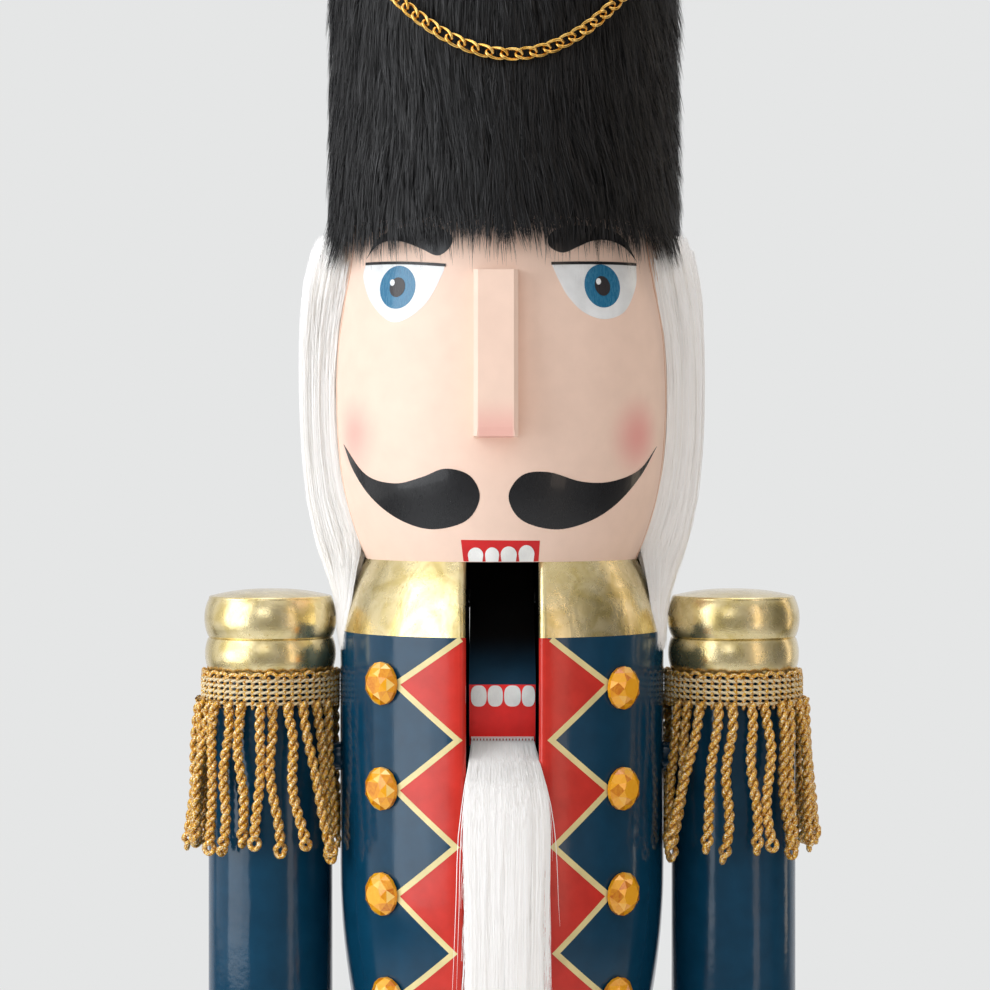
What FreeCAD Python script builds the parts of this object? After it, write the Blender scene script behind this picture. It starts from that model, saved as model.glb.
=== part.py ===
"""A free-standing wooden nutcracker soldier, built as the separate pieces it comes apart into.

Frame: millimetres, +Z up, the figure faces -Y and its left arm is on +X. The origin is the middle of
the base's underside. The mouth is open at rest, so the lever stands out at the back.

Most pieces are turned on a lathe, so most solids here are a profile of (radius, height) points spun
about an axis.
"""
import FreeCAD
import Part
import math
import os

from FreeCAD import Vector

# ---- driving dimensions -------------------------------------------------------------------------
TOTAL_HEIGHT = 914.0
FIT_GAP = 0.05            # glued dowels and seats, per side
FELT_THICKNESS = 1.6

PLINTH_RADIUS = 112.0
PLINTH_TOP = 30.0
STEP_RADIUS = 97.0
STEP_TOP = 52.0

LEG_X = 36.0              # leg axes, either side of the middle
LEG_RADIUS = 31.0
SOLE_TOP = STEP_TOP + 5.0
BOOT_TOP = 190.0
BOOT_CUFF_TOP = 205.0
LEG_TOP = 316.0

SKIRT_BOTTOM_RADIUS = 73.0
SKIRT_TOP = 356.0
WAIST_RADIUS = 57.0
BELT_RADIUS = 59.5
BELT_TOP = 376.0

TORSO_RADIUS = 68.0
TAPER_START = 456.0       # the chest is a cylinder above this height and narrows to the waist below it
TAPER_ARC_RADIUS = 323.0
COLLAR_BOTTOM = 553.6
HEAD_BOTTOM = 583.4
NECK_RADIUS = 57.3
SLOT_WIDTH = 28.8
SLOT_FLOOR = 390.0
SLOT_EDGE_ROUND = 2.4

HEAD_TOP = 735.0
NOSE_OFFSET = -2.6        # the nose is glued a little off the middle of the face
HAT_TUBE_RADIUS = 66.0
HAT_TUBE_WALL = 8.0
HAT_TUBE_TOP = 893.0
HAT_DISC_THICKNESS = 9.0
FUR_BOTTOM = 720.0
FUR_THICKNESS = 7.0

ARM_X = 97.5
ARM_RADIUS = 26.0
HAND_BOTTOM = 292.0
WRIST = 338.0
CUFF_TOP = 353.0
ARM_TOP = 536.0
SHOULDER_DOWEL_HEIGHT = 500.0
TAPE_BOTTOM = 523.0
TAPE_HEIGHT = 13.6
FRINGE_BOTTOM = 458.0

GEM_RADIUS = 8.7
GEM_ANGLE = 44.8          # degrees round the chest from the middle of the front
GEM_TOP_ROW = 534.4
GEM_PITCH = 42.3
GEM_ROWS = 4
FIRST_LEFT_GEM_DROP = 1.8 # the upper left stone was glued this much lower than its pair
STONE_GLUE_GAP = 0.35

JAW_WIDTH = 26.8
JAW_OPEN_ANGLE = 34.0     # degrees from shut to the open rest position
JAW_LIP = (-81.1, 16.0)   # top and bottom of the toothed front, y and z from the pin with the mouth shut
JAW_CHIN = (-90.3, -13.0)
PIVOT = (22.6, 566.6)     # y and z of the lever's pin
PIN_RADIUS = 3.0
PIN_RUNNING_GAP = 0.05

CHAIN_WIRE = 1.3
CHAIN_LINK_LENGTH = 8.8
CHAIN_LINK_WIDTH = 5.4
CHAIN_SLACK = 0.3
CHAIN_END_HEIGHT = 856.0
CHAIN_SAG = 75.0
CHAIN_PIN_RADIUS = 1.0

Z_AXIS = Vector(0, 0, 1)
X_AXIS = Vector(1, 0, 0)
SIDES = {"left": 1, "right": -1}    # the figure's own left arm is on +X


# ---- small helpers ------------------------------------------------------------------------------
def profile_edges(start, steps):
    """Edges through (radius, height) points: a pair is a line to it, two pairs an arc through the
    first to the second, and three or more pairs one smooth spline through them all."""
    edges = []
    here = Vector(start[0], 0, start[1])
    for step in steps:
        points = [step] if isinstance(step[0], (int, float)) else list(step)
        vectors = [Vector(r, 0, z) for r, z in points]
        if len(vectors) == 1:
            curve = Part.LineSegment(here, vectors[0])
        elif len(vectors) == 2:
            curve = Part.Arc(here, vectors[0], vectors[1])
        else:
            curve = Part.BSplineCurve()
            curve.interpolate([here] + vectors)
        edges.append(curve.toShape())
        here = vectors[-1]
    return edges


def turned(start, steps, centre=(0, 0)):
    """A lathe-turned solid: the closed (radius, height) profile spun about the vertical through centre."""
    edges = profile_edges(start, list(steps) + [start])
    solid = Part.Face(Part.Wire(edges)).revolve(Vector(0, 0, 0), Z_AXIS, 360)
    solid.translate(Vector(centre[0], centre[1], 0))
    return Part.Solid(solid) if solid.ShapeType != "Solid" else solid


def rod(radius, start, end):
    """A round bar from one point to another."""
    start, end = Vector(*start), Vector(*end)
    return Part.makeCylinder(radius, (end - start).Length, start, end - start)


def upright_rod(radius, x, y, bottom, top):
    return rod(radius, (x, y, bottom), (x, y, top))


def block(x_range, y_range, z_range):
    corner = Vector(x_range[0], y_range[0], z_range[0])
    return Part.makeBox(x_range[1] - x_range[0], y_range[1] - y_range[0], z_range[1] - z_range[0], corner)


def drill(shape, holes):
    """shape with each hole's solid taken away."""
    for hole in holes:
        shape = shape.cut(hole)
    return shape


def mirrored(shape, side):
    """The shape as it is for the +X side, or its mirror image for the -X side."""
    return shape if side > 0 else shape.mirror(Vector(0, 0, 0), X_AXIS)


def both_sides(make):
    """One shape for each side, from a function that draws the +X one."""
    return [mirrored(make(), side) for side in SIDES.values()]


# ---- dowels and screws, each with the hole it needs ---------------------------------------------
def leg_dowels(gap=0.0):
    """Per leg: one dowel from boot to trouser leg through the cuff, one from trouser leg to coat skirt."""
    radius = 6.0
    spans = [(168.0, 228.0), (294.0, 338.0)]
    return [upright_rod(radius + gap, x, 0, low - gap, high + gap)
            for x in (LEG_X, -LEG_X) for low, high in spans]


def waist_dowels(gap=0.0):
    return [upright_rod(8.0 + gap, x, 0, 340.0 - gap, 408.0 + gap) for x in (36.0, -36.0)]


def neck_dowels(gap=0.0):
    return [upright_rod(6.0 + gap, x, -6.0, 562.0 - gap, 606.0 + gap) for x in (36.0, -36.0)]


def arm_dowels(gap=0.0):
    """The horizontal pegs that hold the arms a few millimetres off the chest."""
    start, end = 44.0, 94.0
    return [rod(6.0 + gap, (side * (start - gap), 0, SHOULDER_DOWEL_HEIGHT),
                (side * (end + gap), 0, SHOULDER_DOWEL_HEIGHT)) for side in SIDES.values()]


def wrist_dowels(gap=0.0):
    return [upright_rod(5.0 + gap, side * ARM_X, 0, 320.0 - gap, 378.0 + gap) for side in SIDES.values()]


def epaulette_dowels(gap=0.0):
    return [upright_rod(6.0 + gap, side * ARM_X, 0, 518.0 - gap, 556.0 + gap) for side in SIDES.values()]


def base_screws(gap=0.0):
    """Countersunk wood screws, two up into each boot from a counterbore in the underside."""
    head_radius, shank_radius = 5.0, 2.4
    seat, cone, tip = 9.0, 4.0, 84.0
    screws = []
    for x in (LEG_X, -LEG_X):
        for y in (-14.0, 14.0):
            profile = [(head_radius + gap, seat), (shank_radius + gap, seat + cone),
                       (shank_radius + gap, tip - 6.0), (0, tip + gap)]
            screws.append(turned((0, seat), profile, (x, y)))
    return screws


def screw_access():
    """The counterbores below the screw heads."""
    return [upright_rod(6.0, x, y, 0, 9.0) for x in (LEG_X, -LEG_X) for y in (-14.0, 14.0)]


# ---- base and legs ------------------------------------------------------------------------------
def base_felt_pad():
    return Part.makeCylinder(PLINTH_RADIUS - 6.0, FELT_THICKNESS)


def base_plinth():
    """The lower disc of the base, with a half-round edge over a small foot."""
    foot, edge = PLINTH_RADIUS - 3.0, PLINTH_RADIUS
    profile = [(foot, FELT_THICKNESS), (foot, 5.0), (edge, 8.0), (edge, 17.0),
               [(edge - 2.6, 24.0), (edge - 9.0, 27.0)], (edge - 9.0, PLINTH_TOP), (0, PLINTH_TOP)]
    return drill(turned((0, FELT_THICKNESS), profile), base_screws(FIT_GAP) + screw_access())


def base_step():
    """The upper disc of the base, with a cove below a rounded lip."""
    edge = STEP_RADIUS
    profile = [(edge, PLINTH_TOP), [(edge - 5.2, PLINTH_TOP + 3.6), (edge - 7.0, PLINTH_TOP + 9.0)],
               (edge - 4.0, PLINTH_TOP + 11.0), [(edge - 0.8, STEP_TOP - 5.5), (edge - 4.0, STEP_TOP)],
               (0, STEP_TOP)]
    return drill(turned((0, PLINTH_TOP), profile), base_screws(FIT_GAP))


def foot_outline(grow, length):
    """The plan of a foot: a round heel on the leg's axis and a rounded toe in front of it."""
    half = 30.0 + grow
    toe = -(length + grow)
    start, heel, other = Vector(half, 0, 0), Vector(0, half, 0), Vector(-half, 0, 0)
    curve = Part.BSplineCurve()
    curve.interpolate([other, Vector(-half + 0.6, toe * 0.42, 0), Vector(-half * 0.64, toe * 0.87, 0),
                       Vector(0, toe, 0), Vector(half * 0.64, toe * 0.87, 0),
                       Vector(half - 0.6, toe * 0.42, 0), start])
    return Part.Face(Part.Wire([Part.Arc(start, heel, other).toShape(), curve.toShape()]))


def sole():
    outline = foot_outline(2.0, 80.0)
    outline.translate(Vector(LEG_X, 0, STEP_TOP))
    return drill(outline.extrude(Vector(0, 0, SOLE_TOP - STEP_TOP)), base_screws(FIT_GAP))


def boot_profile():
    shaft = [(29.2, 84.0), (28.0, 108.0), (29.6, 140.0), (32.6, 180.0), (33.0, BOOT_TOP - 2)]
    return [(30.0, SOLE_TOP), shaft, (31.5, BOOT_TOP), (0, BOOT_TOP)]


def boot():
    """The turned boot shaft, narrowest at the ankle."""
    shaft = turned((0, SOLE_TOP), boot_profile(), (LEG_X, 0))
    return drill(shaft, base_screws(FIT_GAP) + leg_dowels(FIT_GAP))


def toe_cap():
    """The domed toe, a half egg hollowed to fit round the boot shaft."""
    height, half_width, reach = 33.0, 29.6, 54.0
    dome = Part.makeSphere(1.0)
    grow = FreeCAD.Matrix()
    grow.scale(half_width, reach, height)
    dome = dome.transformGeometry(grow)
    dome.translate(Vector(LEG_X, -24.0, SOLE_TOP))
    dome = dome.common(block((0, 2 * LEG_X), (-100.0, 0.0), (SOLE_TOP, SOLE_TOP + 2 * height)))
    shaft = turned((0, SOLE_TOP - 1.0), [(30.0 + FIT_GAP, SOLE_TOP - 1.0), (30.0 + FIT_GAP, SOLE_TOP),
                                         [(29.2 + FIT_GAP, 84.0), (28.0 + FIT_GAP, 108.0),
                                          (29.6 + FIT_GAP, 140.0)], (0, 140.0)], (LEG_X, 0))
    return dome.cut(shaft)


def boot_cuff():
    """The gold roll at the top of a boot."""
    profile = [(32.0, BOOT_TOP), [(36.0, (BOOT_TOP + BOOT_CUFF_TOP) / 2), (32.0, BOOT_CUFF_TOP)],
               (0, BOOT_CUFF_TOP)]
    return drill(turned((0, BOOT_TOP), profile, (LEG_X, 0)), leg_dowels(FIT_GAP))


def leg():
    """A trouser leg, a gentle barrel."""
    low, high = BOOT_CUFF_TOP, LEG_TOP
    profile = [(LEG_RADIUS - 1.5, low), [(LEG_RADIUS + 1.5, (low + high) / 2), (LEG_RADIUS + 0.5, high)],
               (0, high)]
    return drill(turned((0, low), profile, (LEG_X, 0)), leg_dowels(FIT_GAP))


# ---- trunk --------------------------------------------------------------------------------------
def coat_skirt():
    """The flared skirt of the coat, with a rounded hem."""
    hem = SKIRT_BOTTOM_RADIUS
    profile = [(hem - 2.0, LEG_TOP), [(hem, LEG_TOP + 3.0), (hem - 1.0, LEG_TOP + 6.5)],
               [(hem - 6.0, LEG_TOP + 17.0), (WAIST_RADIUS + 3.5, SKIRT_TOP - 10.0),
                (WAIST_RADIUS + 0.5, SKIRT_TOP)], (0, SKIRT_TOP)]
    return drill(turned((0, LEG_TOP), profile), leg_dowels(FIT_GAP) + waist_dowels(FIT_GAP))


def belt():
    edge = 1.2
    profile = [(BELT_RADIUS - edge, SKIRT_TOP), (BELT_RADIUS, SKIRT_TOP + edge),
               (BELT_RADIUS, BELT_TOP - edge), (BELT_RADIUS - edge, BELT_TOP), (0, BELT_TOP)]
    return drill(turned((0, SKIRT_TOP), profile), waist_dowels(FIT_GAP))


def belt_buckle():
    """A rectangular frame buckle with its bar and tongue, curved to the belt."""
    middle = (SKIRT_TOP + BELT_TOP) / 2
    half_width, half_height, rim = 19.0, 14.0, 4.5
    thickness = 3.2
    skin = turned((BELT_RADIUS + FIT_GAP, middle - 20), [(BELT_RADIUS + thickness, middle - 20),
                                                         (BELT_RADIUS + thickness, middle + 20),
                                                         (BELT_RADIUS + FIT_GAP, middle + 20)])
    depth = (-BELT_RADIUS - 10.0, -30.0)
    frame = block((-half_width, half_width), depth, (middle - half_height, middle + half_height))
    window = block((-half_width + rim, half_width - rim), depth,
                   (middle - half_height + rim, middle + half_height - rim))
    tongue = block((-half_width + 1.0, half_width - 2.0), depth, (middle - 1.6, middle + 1.6))
    return skin.common(frame.cut(window).fuse(tongue)).removeSplitter()


def torso_blank():
    """The chest and collar in one turned piece. The waist end narrows along one arc."""
    fall = TAPER_START - BELT_TOP
    drop_mid = TAPER_ARC_RADIUS - math.sqrt(TAPER_ARC_RADIUS ** 2 - (fall / 2) ** 2)
    drop_end = TAPER_ARC_RADIUS - math.sqrt(TAPER_ARC_RADIUS ** 2 - fall ** 2)
    collar_mid = ((TORSO_RADIUS + NECK_RADIUS) / 2 + 1.1, (COLLAR_BOTTOM + HEAD_BOTTOM) / 2)
    profile = [(TORSO_RADIUS - drop_end, BELT_TOP),
               [(TORSO_RADIUS - drop_mid, (TAPER_START + BELT_TOP) / 2), (TORSO_RADIUS, TAPER_START)],
               (TORSO_RADIUS, COLLAR_BOTTOM), [collar_mid, (NECK_RADIUS, HEAD_BOTTOM)], (0, HEAD_BOTTOM)]
    return turned((0, BELT_TOP), profile)


def rounded_slot(shape):
    """Cuts the jaw slot down through the top and rounds its long edges at the front."""
    half = SLOT_WIDTH / 2
    cut = shape.cut(block((-half, half), (-90.0, 90.0), (SLOT_FLOOR, HEAD_BOTTOM + 5.0)))
    long_edges = []
    for edge in cut.Edges:
        box = edge.BoundBox
        on_wall = abs(abs(box.XMin) - half) < 1e-3 and abs(abs(box.XMax) - half) < 1e-3
        if on_wall and box.YMax < -40.0 and box.ZLength > 20.0:
            long_edges.append(edge)
    return cut.makeFillet(SLOT_EDGE_ROUND, long_edges)


def torso():
    pin_hole = rod(PIN_RADIUS + FIT_GAP / 5, (-90.0, *PIVOT), (90.0, *PIVOT))
    holes = [pin_hole] + waist_dowels(FIT_GAP) + neck_dowels(FIT_GAP) + arm_dowels(FIT_GAP)
    return drill(rounded_slot(torso_blank()), holes)


def faceted_gem():
    """A round cut stone with a flat back: girdle, a ring of crown facets and an eight-sided table."""
    girdle, crown, table = 16, 8, 8
    rings = [[(GEM_RADIUS, 0.0, 2 * math.pi * i / girdle) for i in range(girdle)],
             [(GEM_RADIUS, 1.4, 2 * math.pi * i / girdle) for i in range(girdle)],
             [(GEM_RADIUS * 0.78, 3.7, 2 * math.pi * (i + 0.5) / crown) for i in range(crown)],
             [(GEM_RADIUS * 0.48, 5.2, 2 * math.pi * i / table) for i in range(table)]]
    back, rim, mid, top = [[Vector(r * math.cos(a), r * math.sin(a), h) for r, h, a in ring]
                           for ring in rings]

    def facet(*corners):
        return Part.Face(Part.makePolygon(list(corners) + [corners[0]]))

    faces = [facet(*reversed(back)), facet(*top)]
    for i in range(girdle):
        j = (i + 1) % girdle
        faces.append(facet(back[i], back[j], rim[j], rim[i]))
    for i in range(crown):
        j = (i + 1) % crown
        a, b, c = rim[2 * i], rim[2 * i + 1], rim[(2 * i + 2) % girdle]
        faces += [facet(a, b, mid[i]), facet(b, c, mid[i]), facet(c, mid[j], mid[i])]
        faces += [facet(top[i], mid[i], top[j]), facet(mid[i], mid[j], top[j])]
    return Part.makeSolid(Part.makeShell(faces))


def gem_buttons():
    """Two rows of stones down the chest, each glued by its flat back."""
    stones = []
    for side in SIDES.values():
        for row in range(GEM_ROWS):
            height = GEM_TOP_ROW - row * GEM_PITCH
            if side == SIDES["left"] and row == 0:
                height -= FIRST_LEFT_GEM_DROP
            below = max(0.0, TAPER_START - height)
            lean = below / TAPER_ARC_RADIUS
            distance = TORSO_RADIUS - TAPER_ARC_RADIUS * (1 - math.cos(lean)) + STONE_GLUE_GAP
            stone = faceted_gem()
            stone.rotate(Vector(0, 0, 0), X_AXIS, 90.0 + math.degrees(lean))
            stone.translate(Vector(0, -distance, height))
            stone.rotate(Vector(0, 0, 0), Z_AXIS, side * GEM_ANGLE)
            stones.append(stone)
    return stones


# ---- jaw, lever and beard -----------------------------------------------------------------------
def opened(shape):
    """A shape drawn about the pin with the mouth shut, turned open and moved to the pin's place."""
    shape.rotate(Vector(0, 0, 0), X_AXIS, JAW_OPEN_ANGLE)
    shape.translate(Vector(0, *PIVOT))
    return shape


def jaw_lever():
    """The jaw and its lever, one flat piece. Points are (y, z) from the pin with the mouth shut."""
    top = JAW_LIP[1]
    stop = math.radians(JAW_OPEN_ANGLE)
    heel_reach = 22.0        # the heel's top face lies flat under the head when the mouth is open
    heel = (heel_reach * math.cos(stop) + top * math.sin(stop),
            top * math.cos(stop) - heel_reach * math.sin(stop))
    knee = (top * math.tan(stop / 2), top)
    points = {"lip": JAW_LIP, "chin": JAW_CHIN, "chin_foot": (-90.3, -42.0), "throat": (-24.0, -42.0),
              "armpit": (18.0, -62.0), "tail_inside": (26.0, -164.0), "tip_low": (44.0, -171.0),
              "tip": (58.0, -165.0), "grip": (46.0, -138.0), "tail_back": (46.0, -60.0),
              "shoulder": (36.0, -22.0)}
    at = {name: Vector(0, y, z) for name, (y, z) in points.items()}
    heel, knee = Vector(0, *heel), Vector(0, *knee)

    def line(a, b):
        return Part.LineSegment(a, b).toShape()

    def curve(*through):
        spline = Part.BSplineCurve()
        spline.interpolate(list(through))
        return spline.toShape()

    edges = [line(knee, at["lip"]), line(at["lip"], at["chin"]), line(at["chin"], at["chin_foot"]),
             line(at["chin_foot"], at["throat"]), curve(at["throat"], Vector(0, 2, -46), at["armpit"]),
             line(at["armpit"], at["tail_inside"]),
             Part.Arc(at["tail_inside"], at["tip_low"], at["tip"]).toShape(),
             curve(at["tip"], at["grip"], Vector(0, 44.5, -112), at["tail_back"]),
             line(at["tail_back"], at["shoulder"]), line(at["shoulder"], heel), line(heel, knee)]
    plate = Part.Face(Part.Wire(edges)).extrude(Vector(JAW_WIDTH, 0, 0))
    plate.translate(Vector(-JAW_WIDTH / 2, 0, 0))
    plate = opened(plate)
    bore = rod(PIN_RADIUS + PIN_RUNNING_GAP, (-40.0, *PIVOT), (40.0, *PIVOT))
    return plate.cut(bore)


def jaw_pin():
    """The steel pin that the lever turns on, trimmed flush with the collar."""
    half = math.sqrt(61.5 ** 2 - PIVOT[0] ** 2) - 0.6
    return rod(PIN_RADIUS, (-half, *PIVOT), (half, *PIVOT))


def beard_hem():
    """The woven strip across the jaw that the beard is sewn to."""
    half_width, height, thickness = JAW_WIDTH / 2 - 0.8, 2.4, 1.4
    distance_from_lip = 23.7
    down = Vector(0, JAW_CHIN[0] - JAW_LIP[0], JAW_CHIN[1] - JAW_LIP[1]).normalize()
    out = Vector(0, down.z, -down.y)
    middle = Vector(0, *JAW_LIP) + down * distance_from_lip + out * 0.02
    corners = [middle - down * height / 2, middle + down * height / 2,
               middle + down * height / 2 + out * thickness, middle - down * height / 2 + out * thickness]
    strip = Part.Face(Part.makePolygon(corners + corners[:1])).extrude(Vector(2 * half_width, 0, 0))
    strip.translate(Vector(-half_width, 0, 0))
    return opened(strip)


def beard():
    """The hanging beard as one soft body, hemmed to the jaw in the slot and lying in front of the chest."""
    hem_y, hem_z = -49.5, 511.0
    front, rear = -81.0, -69.6
    side_view = [(hem_y, hem_z + 2.0), (-74.0, hem_z - 3.0), (front, hem_z - 20.0), (front, 430.0),
                 (-75.0, 388.0), (rear, 392.0), (rear, hem_z - 14.0), (hem_y, hem_z - 1.0)]
    outline = Part.makePolygon([Vector(0, y, z) for y, z in side_view + side_view[:1]])
    wide = Part.Face(outline).extrude(Vector(36.0, 0, 0))
    wide.translate(Vector(-18.0, 0, 0))
    half_neck, half_top, half_end = 12.0, 17.2, 10.0
    front_view = [(-half_neck, hem_z + 10), (-half_neck, hem_z - 13.9), (-half_top, hem_z - 22.0),
                  (-half_top, 440.0), (-half_end, 380.0), (half_end, 380.0), (half_top, 440.0),
                  (half_top, hem_z - 22.0), (half_neck, hem_z - 13.9), (half_neck, hem_z + 10)]
    face = Part.Face(Part.makePolygon([Vector(x, -100.0, z) for x, z in front_view + front_view[:1]]))
    return wide.common(face.extrude(Vector(0, 60.0, 0)))


# ---- head and hat -------------------------------------------------------------------------------
def head_profile(grow=0.0):
    """The barrel of the head, (radius, height), from the chin to the rim inside the hat."""
    points = [(NECK_RADIUS, HEAD_BOTTOM), (62.9, 597.5), (67.4, 615.5), (69.6, 636.0), (70.0, 654.0),
              (68.4, 684.0), (65.4, 708.0), (62.5, HEAD_TOP)]
    return [(r + grow, z) for r, z in points]


def head():
    """The turned head, with a spigot on top for the hat."""
    first, *rest = head_profile()
    spigot = HAT_TUBE_RADIUS - HAT_TUBE_WALL - 0.2
    spigot_top = HEAD_TOP + 10
    blank = turned((0, HEAD_BOTTOM), [first, rest, (spigot, HEAD_TOP), (spigot, spigot_top), (0, spigot_top)])
    return drill(blank, neck_dowels(FIT_GAP))


def nose():
    """A wedge nose, deepest at the tip, with its long edges planed off and its back fitted to the face."""
    half, bevel = 8.7, 1.7
    low, high = 632.5, 700.0
    deep, shallow = -85.5, -76.5
    side_view = [(-60.0, low), (deep, low + 0.6), (deep, low + 4.0), (shallow, high - 1.5), (-60.0, high)]
    outline = Part.makePolygon([Vector(0, y, z) for y, z in side_view + side_view[:1]])
    wedge = Part.Face(outline).extrude(Vector(2 * half, 0, 0))
    wedge.translate(Vector(NOSE_OFFSET - half, 0, 0))
    front_edges = [e for e in wedge.Edges if e.BoundBox.YMax < shallow + 0.1 and e.BoundBox.ZLength > 40.0]
    wedge = wedge.makeChamfer(bevel, front_edges)
    first, *rest = head_profile(FIT_GAP)
    return wedge.cut(turned((0, HEAD_BOTTOM), [first, rest, (0, HEAD_TOP)]))


def hat_tube():
    """The stiff tube that carries the fur, standing on the head round its spigot."""
    inner = HAT_TUBE_RADIUS - HAT_TUBE_WALL
    tube = turned((inner, HEAD_TOP), [(HAT_TUBE_RADIUS, HEAD_TOP), (HAT_TUBE_RADIUS, HAT_TUBE_TOP),
                                      (inner, HAT_TUBE_TOP)])
    return drill(tube, chain_pin_holes())


def hat_top_disc():
    edge, low, high = HAT_TUBE_RADIUS, HAT_TUBE_TOP, HAT_TUBE_TOP + HAT_DISC_THICKNESS
    rounding = [(edge - 2, high - 2), (edge - 7, high)]
    return turned((0, low), [(edge, low), (edge, low + 2), rounding, (0, high)])


def hat_fur():
    """The fur cover: a sleeve that hangs below the tube round the head, closed over the crown."""
    inner, outer = HAT_TUBE_RADIUS + 0.2, HAT_TUBE_RADIUS + FUR_THICKNESS
    disc_top = HAT_TUBE_TOP + HAT_DISC_THICKNESS + 0.2
    top = TOTAL_HEIGHT - 1.0
    profile = [(outer - 1.0, FUR_BOTTOM), (outer, FUR_BOTTOM + 8), (outer, top - 26),
               [(outer - 7.0, top - 8), (outer - 26, top)], (0, top), (0, disc_top),
               (inner - 7, disc_top), [(inner - 2, disc_top - 2), (inner, disc_top - 7)]]
    return drill(turned((inner, FUR_BOTTOM), profile), chain_pin_holes())


# ---- chain --------------------------------------------------------------------------------------
CHAIN_RADIUS = HAT_TUBE_RADIUS + FUR_THICKNESS + CHAIN_LINK_WIDTH / 2 + 0.5


def chain_point(angle):
    """A point of the chain's hanging line at an angle round the hat from the front, in radians."""
    x = CHAIN_RADIUS * math.sin(angle)
    height = CHAIN_END_HEIGHT - CHAIN_SAG * (1 - (x / CHAIN_RADIUS) ** 2)
    return Vector(x, -CHAIN_RADIUS * math.cos(angle), height)


def chain_stations():
    """Evenly spaced (point, direction) pairs along the hanging line, one for each link."""
    steps = 4000
    angles = [math.pi * (i / steps - 0.5) for i in range(steps + 1)]
    points = [chain_point(a) for a in angles]
    lengths = [0.0]
    for a, b in zip(points, points[1:]):
        lengths.append(lengths[-1] + (b - a).Length)
    hang = CHAIN_LINK_LENGTH / 2 - CHAIN_WIRE - CHAIN_PIN_RADIUS - 0.05
    pitch = CHAIN_LINK_LENGTH - 2 * CHAIN_WIRE - CHAIN_SLACK
    usable = lengths[-1] - 2 * hang
    links = 2 * round((usable / pitch - 1) / 2) + 1     # odd, so that both end links lie flat
    stations = []
    for i in range(links):
        wanted = hang + usable * i / (links - 1)
        k = min(range(1, steps), key=lambda n: abs(lengths[n] - wanted))
        stations.append((points[k], (points[k + 1] - points[k - 1]).normalize()))
    return stations


def chain_link():
    """One link lying in the XY plane, long in X."""
    wire = CHAIN_WIRE / 2
    bend = CHAIN_LINK_WIDTH / 2 - wire
    half = CHAIN_LINK_LENGTH / 2 - CHAIN_LINK_WIDTH / 2
    sides = [rod(wire, (-half, y, 0), (half, y, 0)) for y in (-bend, bend)]
    ends = []
    for side in (1, -1):
        ring = Part.makeTorus(bend, wire)
        ring.translate(Vector(side * half, 0, 0))
        reach = sorted((side * half, side * (half + 10)))
        ends.append(ring.common(block(reach, (-10, 10), (-5, 5))))
    return sides[0].fuse([sides[1]] + ends).removeSplitter()


def hat_chain():
    """The chain draped across the front of the hat, links flat and on edge in turn."""
    links = []
    for i, (point, along) in enumerate(chain_stations()):
        outward = Vector(point.x, point.y, 0).normalize()
        across = outward.cross(along).normalize()
        normal = along.cross(across).normalize()
        if i % 2:
            across, normal = normal, across * -1
        place = FreeCAD.Matrix(along.x, across.x, normal.x, point.x,
                               along.y, across.y, normal.y, point.y,
                               along.z, across.z, normal.z, point.z, 0, 0, 0, 1)
        link = chain_link()
        link.transformShape(place)
        links.append(link)
    return links


def chain_pins():
    """The two headed pins at the sides of the hat that the chain's end links hang on."""
    def pin():
        start, head_at = HAT_TUBE_RADIUS - 5.0, CHAIN_RADIUS + CHAIN_WIRE
        shank = rod(CHAIN_PIN_RADIUS, (start, 0, CHAIN_END_HEIGHT), (head_at, 0, CHAIN_END_HEIGHT))
        head_ball = Part.makeSphere(2.6, Vector(head_at + 1.0, 0, CHAIN_END_HEIGHT))
        return shank.fuse(head_ball.common(block((head_at, head_at + 9), (-9, 9),
                                                 (CHAIN_END_HEIGHT - 9, CHAIN_END_HEIGHT + 9))))
    return both_sides(pin)


def chain_pin_holes():
    reach = HAT_TUBE_RADIUS + FUR_THICKNESS + 2
    inner = HAT_TUBE_RADIUS - 5.0 - FIT_GAP
    return [rod(CHAIN_PIN_RADIUS + FIT_GAP, (side * inner, 0, CHAIN_END_HEIGHT),
                (side * reach, 0, CHAIN_END_HEIGHT)) for side in SIDES.values()]


def hair_wig():
    """The hair as one soft shell round the back and sides of the head, open at the face."""
    low, high = 570.0, 716.0
    inner = [(64.8, low), (59.4, HEAD_BOTTOM + 0.5)]
    inner += [(r + 0.3, z) for r, z in head_profile() if HEAD_BOTTOM + 1 < z < high]
    top_inner = 64.6
    outer = [(78.5, 700.0), (82.0, 660.0), (80.5, 620.0), (75.0, 588.0), (68.5, low)]
    shell = turned(inner[0], [inner[1], inner[2:] + [(top_inner, high)], (76.0, high), outer])
    face_half_angle = math.radians(80.0)
    reach = 120.0
    side_x, side_y = reach * math.sin(face_half_angle), -reach * math.cos(face_half_angle)
    plan = [(0, 0), (side_x, side_y), (reach, -reach), (-reach, -reach), (-side_x, side_y)]
    corners = [Vector(x, y, low - 5) for x, y in plan]
    opening = Part.Face(Part.makePolygon(corners + corners[:1])).extrude(Vector(0, 0, high - low + 10))
    return shell.cut(opening)


# ---- arms ---------------------------------------------------------------------------------------
def arm():
    edge = 0.8
    profile = [(ARM_RADIUS - edge, CUFF_TOP), (ARM_RADIUS, CUFF_TOP + edge), (ARM_RADIUS, ARM_TOP),
               (0, ARM_TOP)]
    holes = arm_dowels(FIT_GAP) + wrist_dowels(FIT_GAP) + epaulette_dowels(FIT_GAP)
    return drill(turned((0, CUFF_TOP), profile, (ARM_X, 0)), holes)


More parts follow.
